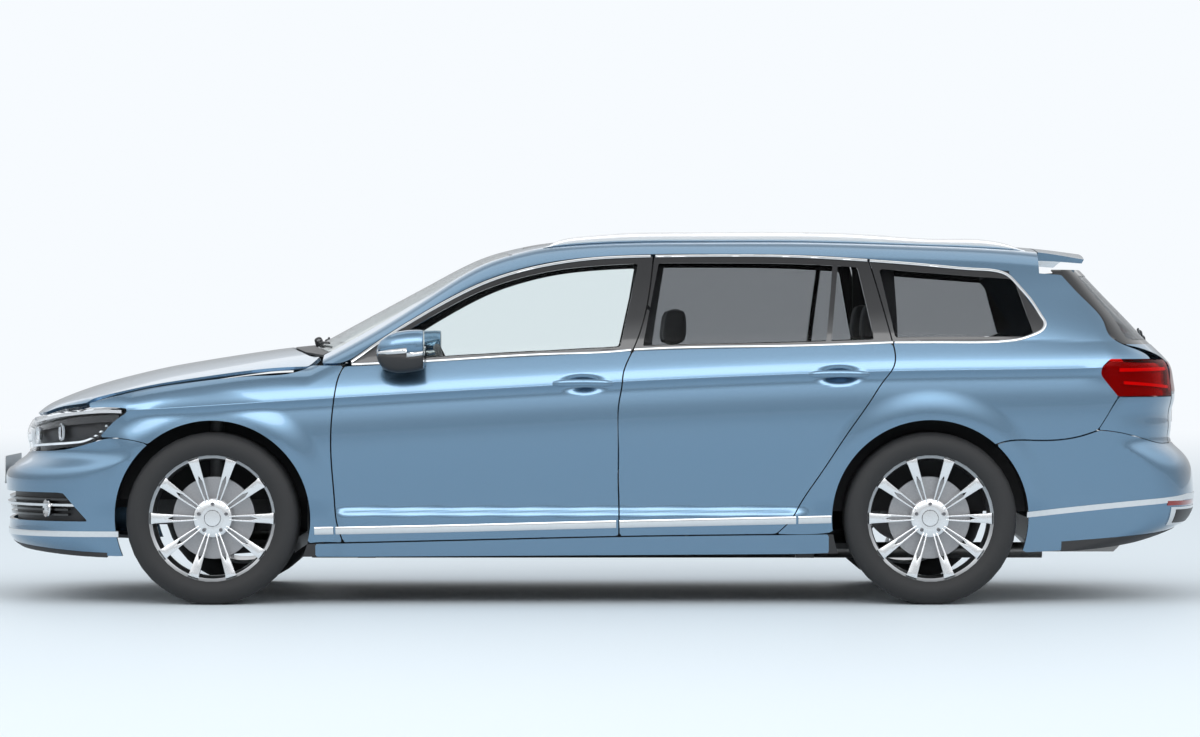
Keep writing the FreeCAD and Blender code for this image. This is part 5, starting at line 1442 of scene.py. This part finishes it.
def on_screen(flat):
    path = np.stack([flat[:, 0], flat[:, 1], skin_z(flat[:, 0], flat[:, 1])], 1)
    return path, outward(path)


def on_tail(flat):
    path = np.stack([skin_x(flat[:, 0], flat[:, 1], 1) - 2, flat[:, 0], flat[:, 1]], 1)
    return path, outward(path)


wiper("wiper_driver", "body", [(front(372), -120), (front(392), -330), (front(440), -560)], on_screen)
wiper("wiper_passenger", "body", [(front(372), 560), (front(380), 330), (front(404), 60)], on_screen)
wiper("rear_wiper", "tailgate", [(0, 1024), (-120, 1040), (-330, 1066)], on_tail)


def plate(name, body, toward, z_low, z_high, proud):
    """Blank number plate, flat, in front of the skin."""
    face = float(skin_x(0.0, (z_low + z_high) / 2, toward)) + toward * proud

    def place(y, z):
        return np.stack([np.full(len(y), face), y, z], 1)

    def kept(p):
        return most(np.abs(p[:, 1]) - 260, z_low - p[:, 2], p[:, 2] - z_high)

    sheet = trimmed(spaced(-264, 264, 12), spaced(z_low - 4, z_high + 4, 6), place, kept)
    points, faces = tidy_sheet(*sheet)[:2]
    normals = np.tile([[float(toward), 0.0, 0.0]], (len(points), 1))
    one(name, body, "black_plastic", plate_white, (points, faces, normals, points - normals * 3))


plate("rear_plate", "tailgate", 1, 700, 812, 4)
plate("front_plate", "body", -1, 452, 562, 8)
across = np.linspace(-60, 60, 12)
level_line = np.full(12, 868.0)
handle_path = np.stack([skin_x(across, level_line, 1), across, level_line], 1)
settle(swept("tailgate_handle", handle_path, outward(handle_path), oval(8, 22, 16)), "tailgate", "rail_metal",
       chrome)

# Wheels: tyres with grooves and shaped sidewalls, forked spokes, discs and bolts.
TYRE_PROFILE = (
    (246, -101), (262, -113), (290, -118), (318, -111), (331, -98), (335, -84), (335, -34), (328, -32),
    (328, -24), (335, -22), (335, 22), (328, 24), (328, 32), (335, 34), (335, 84), (331, 98), (318, 111),
    (290, 118), (262, 113), (246, 101),
)
RIM_PROFILE = (
    (243, -108), (252, -106), (252, -100), (238, -92), (232, -60), (226, -20), (228, 40), (234, 84),
    (246, 91), (251, 97), (253, 103), (257, 105), (258, 103), (256, 96), (250, 92), (240, 80), (232, 40),
    (231, -20), (237, -60), (243, -92), (243, -108),
)
HUB_PROFILE = (
    (0, 84), (30, 83), (33, 80), (33, 72), (42, 72), (66, 72), (74, 68), (78, 60), (78, 30), (60, 20),
    (0, 20),
)
DISC_PROFILE = ((60, 8), (160, 8), (161, 6), (161, -14), (160, -16), (60, -16), (60, 8))
BOLT_PROFILE = ((0, 0), (7.5, 0), (7.5, 10), (6, 12), (4, 12), (4, 8), (0, 8))
# Each row of the fork: radius, half-width, and half the opening between its two spokes.
FORK = (
    (50, 7.6, 3.4), (72, 9.4, 4.6), (110, 12.2, 6.6), (150, 14.6, 7.6), (172, 16.0, 0.6), (196, 17.4, 0.4),
    (222, 19.0, 0.4), (238, 22.0, 0.4),
)
FORK_FACE = fair([(50, 70), (110, 80), (166, 87), (238, 93)])
FORK_JOINED, FORKS = 4, 10
BOLT_RING, BOLT_FACE, BOLTS = 56.0, 74, 5
CENTRE, AXIS = (0, 0, 0), (0, 1, 0)
WHEELS = (("front", FRONT_AXLE, 792.0), ("rear", REAR_AXLE, 784.0))


def repeat_group():
    """Geometry group that sets copies of a piece around the Y axis and gives them a material."""
    group = bpy.data.node_groups.new("repeat around", "GeometryNodeTree")
    for name, kind in (("Piece", "Object"), ("Count", "Int"), ("Material", "Material")):
        group.interface.new_socket(name, in_out="INPUT", socket_type="NodeSocket" + kind)
    group.interface.new_socket("Geometry", in_out="OUTPUT", socket_type="NodeSocketGeometry")
    nodes, links = group.nodes, group.links
    given = nodes.new("NodeGroupInput")
    result = nodes.new("NodeGroupOutput")
    points = nodes.new("GeometryNodePoints")
    piece = nodes.new("GeometryNodeObjectInfo")
    spread = nodes.new("GeometryNodeInstanceOnPoints")
    index = nodes.new("GeometryNodeInputIndex")
    step = nodes.new("ShaderNodeMath")
    step.operation = "DIVIDE"
    step.inputs[0].default_value = 2 * math.pi
    turn = nodes.new("ShaderNodeMath")
    turn.operation = "MULTIPLY"
    spin = nodes.new("ShaderNodeCombineXYZ")
    real = nodes.new("GeometryNodeRealizeInstances")
    coat = nodes.new("GeometryNodeSetMaterial")
    links.new(given.outputs["Count"], points.inputs["Count"])
    links.new(given.outputs["Piece"], piece.inputs["Object"])
    links.new(given.outputs["Count"], step.inputs[1])
    links.new(index.outputs["Index"], turn.inputs[0])
    links.new(step.outputs["Value"], turn.inputs[1])
    links.new(turn.outputs["Value"], spin.inputs["Y"])
    links.new(points.outputs["Points"], spread.inputs["Points"])
    links.new(piece.outputs["Geometry"], spread.inputs["Instance"])
    links.new(spin.outputs["Vector"], spread.inputs["Rotation"])
    links.new(spread.outputs["Instances"], real.inputs["Geometry"])
    links.new(real.outputs["Geometry"], coat.inputs["Geometry"])
    links.new(given.outputs["Material"], coat.inputs["Material"])
    links.new(coat.outputs["Geometry"], result.inputs["Geometry"])
    return group


AROUND = repeat_group()


def around(name, thing, count, finish):
    """Mesh of count copies of a piece turned around the Y axis; the piece itself is used up."""
    holder = made(name, bpy.data.meshes.new(name))
    spread = holder.modifiers.new("around", "NODES")
    spread.node_group = AROUND
    values = {"Piece": thing, "Count": count, "Material": finish}
    for socket in AROUND.interface.items_tree:
        if socket.in_out == "INPUT":
            spread[socket.identifier] = values[socket.name]
    holder.update_tag()
    bpy.context.view_layer.update()
    data = applied(holder).data
    bpy.data.objects.remove(thing)
    bpy.data.objects.remove(holder)
    return data


def placed(name, data, centre, sign):
    """Copy of wheel mesh data on a wheel, mirrored for the side that faces -Y."""
    copy = data.copy()
    flat = np.empty(len(copy.vertices) * 3)
    copy.vertices.foreach_get("co", flat)
    points = flat.reshape(-1, 3) * (1.0, sign, 1.0) + centre
    copy.vertices.foreach_set("co", points.ravel())
    if sign < 0:
        copy.flip_normals()
    copy.polygons.foreach_set("use_smooth", [True] * len(copy.polygons))
    copy.set_sharp_from_angle(angle=math.radians(35))
    return made(name, copy)


def fork():
    """One wide spoke tip that splits inwards into two thin spokes, pointing along +X."""
    mesh = bmesh.new()
    rows = []
    for radius, outer, inner in FORK:
        lift = FORK_FACE(radius)
        rows.append([mesh.verts.new(Vector((radius, lift, t)) * MM) for t in (-outer, -inner, inner, outer)])
    for n, (a, b) in enumerate(zip(rows, rows[1:])):
        for k in ((0, 1, 2) if n >= FORK_JOINED else (0, 2)):
            mesh.faces.new([a[k], a[k + 1], b[k + 1], b[k]])
    bmesh.ops.recalc_face_normals(mesh, faces=mesh.faces)
    if sum(face.normal.y for face in mesh.faces) < 0:
        bmesh.ops.reverse_faces(mesh, faces=mesh.faces)
    thing = from_bmesh("spoke_fork", mesh)
    wall = thing.modifiers.new("wall", "SOLIDIFY")
    wall.thickness = 0.026
    wall.offset = -1
    edge = thing.modifiers.new("edge", "BEVEL")
    edge.width = 0.0016
    edge.segments = 2
    edge.limit_method = "ANGLE"
    return applied(thing)


def bolt():
    return from_bmesh("wheel_bolt", turned(BOLT_PROFILE, (0, BOLT_FACE, BOLT_RING), AXIS, 6), 20)


def spun(name, profile, segments):
    """Wheel mesh spun around the Y axis; it has no object yet."""
    thing = from_bmesh(name, turned(profile, CENTRE, AXIS, segments))
    data = thing.data
    bpy.data.objects.remove(thing)
    return data


SPOKES = around("spokes", fork(), FORKS, alloy_bright)
BOLT_HEADS = around("bolts", bolt(), BOLTS, steel_dark)
TYRE = spun("tyre", TYRE_PROFILE, 36)
BARREL = spun("barrel", RIM_PROFILE, 96)
HUB = spun("hub", HUB_PROFILE, 40)
DISC = spun("disc", DISC_PROFILE, 48)
for hand, sign in HANDS:
    for place, x, y in WHEELS:
        body = f"wheel_{place}_{hand}"
        centre = (x * MM, sign * y * MM, AXLE_HEIGHT * MM)
        tyre = placed("tyre_" + body, TYRE, centre, sign)
        settle(tyre, body, "tyre_rubber", rubber, f"tyre_{place}_{hand}")
        barrel = placed("barrel_" + body, BARREL, centre, sign)
        settle(barrel, body, "alloy", alloy_grey, f"rim_{place}_{hand}")
        settle(placed("spokes_" + body, SPOKES, centre, sign), body, "alloy", alloy_bright)
        settle(placed("bolts_" + body, BOLT_HEADS, centre, sign), body, "alloy", steel_dark)
        settle(placed("hub_" + body, HUB, centre, sign), body, "alloy", alloy_bright)
        settle(placed("disc_" + body, DISC, centre, sign), body, "steel", disc_steel)

# Padded seats: each cushion is a cloth skin blown up a little over its foam.
SEAT_HALF, BENCH_HALF = 250, 588
SEAT_MIDDLE, BENCH_REST = 370, 350
SEAT_PRESSURE, SETTLING_FRAMES = 4.0, 20


def foam(name, corners, depth, width, y):
    """Closed cushion over a side-view outline; depth rounds its edges."""
    mesh = bmesh.new()
    ring = [mesh.verts.new(Vector((x, y - width / 2, z)) * MM) for x, z in corners]
    face = mesh.faces.new(ring)
    moved = bmesh.ops.extrude_face_region(mesh, geom=[face])
    far_side = [v for v in moved["geom"] if isinstance(v, bmesh.types.BMVert)]
    bmesh.ops.translate(mesh, vec=Vector((0, width * MM, 0)), verts=far_side)
    bmesh.ops.recalc_face_normals(mesh, faces=mesh.faces)
    bmesh.ops.bevel(mesh, geom=mesh.edges[:], offset=depth * MM, segments=3, affect="EDGES", profile=0.6)
    return from_bmesh(name, mesh)


def plump(thing, voxel, reach):
    """Cloth simulation that swells the cushion; no point moves further than reach."""
    grid = thing.modifiers.new("grid", "REMESH")
    grid.mode = "VOXEL"
    grid.voxel_size = voxel
    applied(thing)
    flat = np.empty(len(thing.data.vertices) * 3)
    thing.data.vertices.foreach_get("co", flat)
    start = flat.reshape(-1, 3).copy()
    skin = thing.modifiers.new("skin", "CLOTH")
    skin.settings.use_pressure = True
    skin.settings.uniform_pressure_force = SEAT_PRESSURE
    skin.settings.effector_weights.gravity = 0.0
    skin.settings.quality = 3
    skin.point_cache.frame_start = 1
    skin.point_cache.frame_end = SETTLING_FRAMES
    for frame_number in range(1, SETTLING_FRAMES + 1):
        bpy.context.scene.frame_set(frame_number)
    applied(thing)
    thing.data.vertices.foreach_get("co", flat)
    moved = flat.reshape(-1, 3) - start
    far = np.linalg.norm(moved, axis=1)[:, None]
    calm = start + moved * np.minimum(1.0, reach / np.maximum(far, 1e-9))
    thing.data.vertices.foreach_set("co", calm.ravel())
    bpy.context.scene.frame_set(1)
    return thing


SEAT_OUTLINES = (
    ((-292, 70), (-296, 150), (-270, 188), (-60, 176), (190, 158), (190, 70)),
    ((140, 120), (262, 120), (420, 712), (396, 728), (330, 722), (262, 470)),
    ((336, 752), (424, 760), (424, 886), (352, 890)),
)


def seat(name, x, half_width, lift, y, spread, node):
    """Cushion, backrest and head restraints; spread gives the Y of each head restraint."""
    cushion, back, head = [[(x + along, lift + up) for along, up in outline] for outline in SEAT_OUTLINES]
    pieces = [
        plump(foam(name + "_cushion", cushion, 18, 2 * half_width - 20, y), 0.02, 0.012),
        plump(foam(name + "_back", back, 16, 2 * half_width - 24, y), 0.02, 0.012),
    ]
    for n, place in enumerate(spread):
        pieces.append(plump(foam(f"{name}_head_{n}", head, 16, 226, y + place), 0.012, 0.006))
    for n, thing in enumerate(pieces):
        settle(thing, "body", "seat_cloth", seat_leather)
        if node and n == 0:
            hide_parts(node)


seat("driver_seat", front(1420), SEAT_HALF, 260, -SEAT_MIDDLE, (0,), "front_seats")
seat("passenger_seat", front(1420), SEAT_HALF, 260, SEAT_MIDDLE, (0,), None)
seat("rear_bench", rear(-580), BENCH_HALF, 280, 0, (-BENCH_REST, BENCH_REST), "rear_seat")

# Finishes of the CAD nodes that still show.
CARRIED = {
    "floor_pan": underbody, "rear_wheelhouses": underbody, "front_wheelhouses": underbody,
    "bulkhead": satin_black, "front_frame": coated_steel, "engine_block": cast_metal,
    "front_subframe": coated_steel, "rear_axle": coated_steel, "knuckle_left": cast_metal,
    "knuckle_right": cast_metal, "exhaust": exhaust_steel, "dashboard": cabin_plastic,
    "front_seats": seat_leather, "rear_seat": seat_leather,
    "steering_wheel": cabin_plastic, "roof_rails": rail_silver, "side_frame_left": satin_black,
    "side_frame_right": satin_black, "mirror_left": paint, "mirror_right": paint, "headlamps": lamp_silver,
    "tail_lamps": reflector_red, "grille": piano_black, "intake_grille": piano_black, "front_bumper": paint,
    "rear_bumper": paint, "tailgate": paint, "tailgate_glass": privacy_glass,
}
for node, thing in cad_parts.items():
    if not thing.hide_render:
        thing.data.materials.clear()
        spare = alloy_bright if node.startswith("rim") else rubber
        thing.data.materials.append(CARRIED.get(node, spare))


# Studio. SKY holds the world's brightness from straight down (0) to straight up (1); mirrored rays see
# GLOSSY_SHARE of the pale backdrop instead of it.
GLOSSY_SHARE = 0.4
SKY = ((0.0, 0.22), (0.50, 0.28), (0.56, 0.45), (0.61, 1.0), (0.66, 1.9), (0.80, 2.4), (0.90, 0.8),
       (1.0, 0.35))
SKY_RANGE = 4
STRENGTH_NEAR, STRENGTH_FAR = 4.0, 1.8
PALE = (0.93, 0.965, 1.0, 1)
FLOOR_COLOUR = (0.68, 0.75, 0.80, 1)
FLOOR_RADIUS = 120
FADE_START, FADE_END = 7.0, 34.0
SOFTBOXES = (
    ("overhead_softbox", (0, 0, 5.2), (6.5, 2.6), 45),
    ("near_softbox", (0, -8.5, 5.0), (13, 2.6), 240),
    ("far_softbox", (0, 8.5, 5.0), (13, 2.6), 40),
)
SOFTBOX_AIM = (0, 0, 0.8)
CAMERA_PLACE = (0.005, -18.92, 1.048)
SENSOR_WIDTH, FOCAL_LENGTH, CAMERA_RISE = 36.0, 139.3, -0.0279


def worked(nodes, links, operation, first, second):
    """Output of a Math node that joins a socket with another socket or a number."""
    step = nodes.new("ShaderNodeMath")
    step.operation = operation
    links.new(first, step.inputs[0])
    if isinstance(second, float):
        step.inputs[1].default_value = second
    else:
        links.new(second, step.inputs[1])
    return step.outputs["Value"]


def pale_share(nodes, links):
    """How much of the pale backdrop a ray sees: all of it directly or through glass, less when mirrored."""
    rays = nodes.new("ShaderNodeLightPath").outputs
    direct = worked(nodes, links, "MAXIMUM", rays["Is Camera Ray"], rays["Is Transmission Ray"])
    mirrored = worked(nodes, links, "MULTIPLY", rays["Is Glossy Ray"], GLOSSY_SHARE)
    return worked(nodes, links, "MAXIMUM", direct, mirrored)


def surroundings(scene):
    """World that lights the car, and that looks plain and pale."""
    world = bpy.data.worlds.new("studio")
    scene.world = world
    world.use_nodes = True
    nodes, links = world.node_tree.nodes, world.node_tree.links
    sky = nodes["Background"]
    place = nodes.new("ShaderNodeTexCoord")
    split = nodes.new("ShaderNodeSeparateXYZ")
    links.new(place.outputs["Generated"], split.inputs[0])
    bright = nodes.new("ShaderNodeValToRGB")
    bright.color_ramp.interpolation = "EASE"
    marks = bright.color_ramp.elements
    while len(marks) < len(SKY):
        marks.new(0.5)
    for mark, (position, level) in zip(marks, SKY):
        mark.position = position
        mark.color = (level / SKY_RANGE, level / SKY_RANGE * 1.02, level / SKY_RANGE * 1.04, 1)
    height = nodes.new("ShaderNodeMapRange")
    height.inputs["From Min"].default_value = -1.0
    links.new(split.outputs["Z"], height.inputs["Value"])
    links.new(height.outputs["Result"], bright.inputs["Fac"])
    links.new(bright.outputs["Color"], sky.inputs["Color"])
    facing = nodes.new("ShaderNodeMapRange")
    facing.inputs["From Min"].default_value = -1.0
    facing.inputs["To Min"].default_value = STRENGTH_NEAR
    facing.inputs["To Max"].default_value = STRENGTH_FAR
    links.new(split.outputs["Y"], facing.inputs["Value"])
    links.new(facing.outputs["Result"], sky.inputs["Strength"])
    pale = nodes.new("ShaderNodeBackground")
    pale.inputs["Color"].default_value = PALE
    choice = nodes.new("ShaderNodeMixShader")
    links.new(pale_share(nodes, links), choice.inputs["Fac"])
    links.new(sky.outputs["Background"], choice.inputs[1])
    links.new(pale.outputs["Background"], choice.inputs[2])
    links.new(choice.outputs["Shader"], nodes["World Output"].inputs["Surface"])


def floor_finish():
    """Pale floor that fades into the backdrop far from the car."""
    material = bpy.data.materials.new("pale_floor")
    material.use_nodes = True
    nodes, links = material.node_tree.nodes, material.node_tree.links
    surface = nodes["Principled BSDF"]
    surface.inputs["Base Color"].default_value = FLOOR_COLOUR
    surface.inputs["Roughness"].default_value = 0.55
    surface.inputs["Specular IOR Level"].default_value = 0.2
    pale = nodes.new("ShaderNodeEmission")
    pale.inputs["Color"].default_value = PALE
    place = nodes.new("ShaderNodeTexCoord")
    far = nodes.new("ShaderNodeVectorMath")
    far.operation = "LENGTH"
    links.new(place.outputs["Object"], far.inputs[0])
    fade = nodes.new("ShaderNodeMapRange")
    fade.interpolation_type = "SMOOTHSTEP"
    fade.inputs["From Min"].default_value = FADE_START
    fade.inputs["From Max"].default_value = FADE_END
    links.new(far.outputs["Value"], fade.inputs["Value"])
    choice = nodes.new("ShaderNodeMixShader")
    seen = worked(nodes, links, "MULTIPLY", fade.outputs["Result"], pale_share(nodes, links))
    links.new(seen, choice.inputs["Fac"])
    links.new(surface.outputs["BSDF"], choice.inputs[1])
    links.new(pale.outputs["Emission"], choice.inputs[2])
    links.new(choice.outputs["Shader"], nodes["Material Output"].inputs["Surface"])
    return material


def studio_floor():
    mesh = bmesh.new()
    bmesh.ops.create_circle(mesh, cap_ends=True, radius=FLOOR_RADIUS, segments=96)
    data = bpy.data.meshes.new("studio_floor")
    mesh.to_mesh(data)
    mesh.free()
    floor = made("studio_floor", data)
    data.materials.append(floor_finish())


def softbox(scene, name, place, size, energy):
    """Soft light that the camera doesn't see, turned towards the car."""
    lamp = bpy.data.lights.new(name, "AREA")
    lamp.shape = "RECTANGLE"
    lamp.size, lamp.size_y = size
    lamp.energy = energy
    thing = bpy.data.objects.new(name, lamp)
    thing.location = place
    thing.rotation_euler = (Vector(SOFTBOX_AIM) - Vector(place)).to_track_quat("-Z", "Y").to_euler()
    thing.visible_camera = False
    scene.collection.objects.link(thing)


def side_camera(scene):
    """Camera level with the car's left side."""
    data = bpy.data.cameras.new("camera")
    data.sensor_width = SENSOR_WIDTH
    data.lens = FOCAL_LENGTH
    data.shift_y = CAMERA_RISE
    camera = bpy.data.objects.new("camera", data)
    camera.location = CAMERA_PLACE
    camera.rotation_euler = (math.radians(90), 0, 0)
    scene.collection.objects.link(camera)
    scene.camera = camera


scene = bpy.context.scene
surroundings(scene)
studio_floor()
for box in SOFTBOXES:
    softbox(scene, *box)
side_camera(scene)
scene.view_settings.view_transform = "Standard"
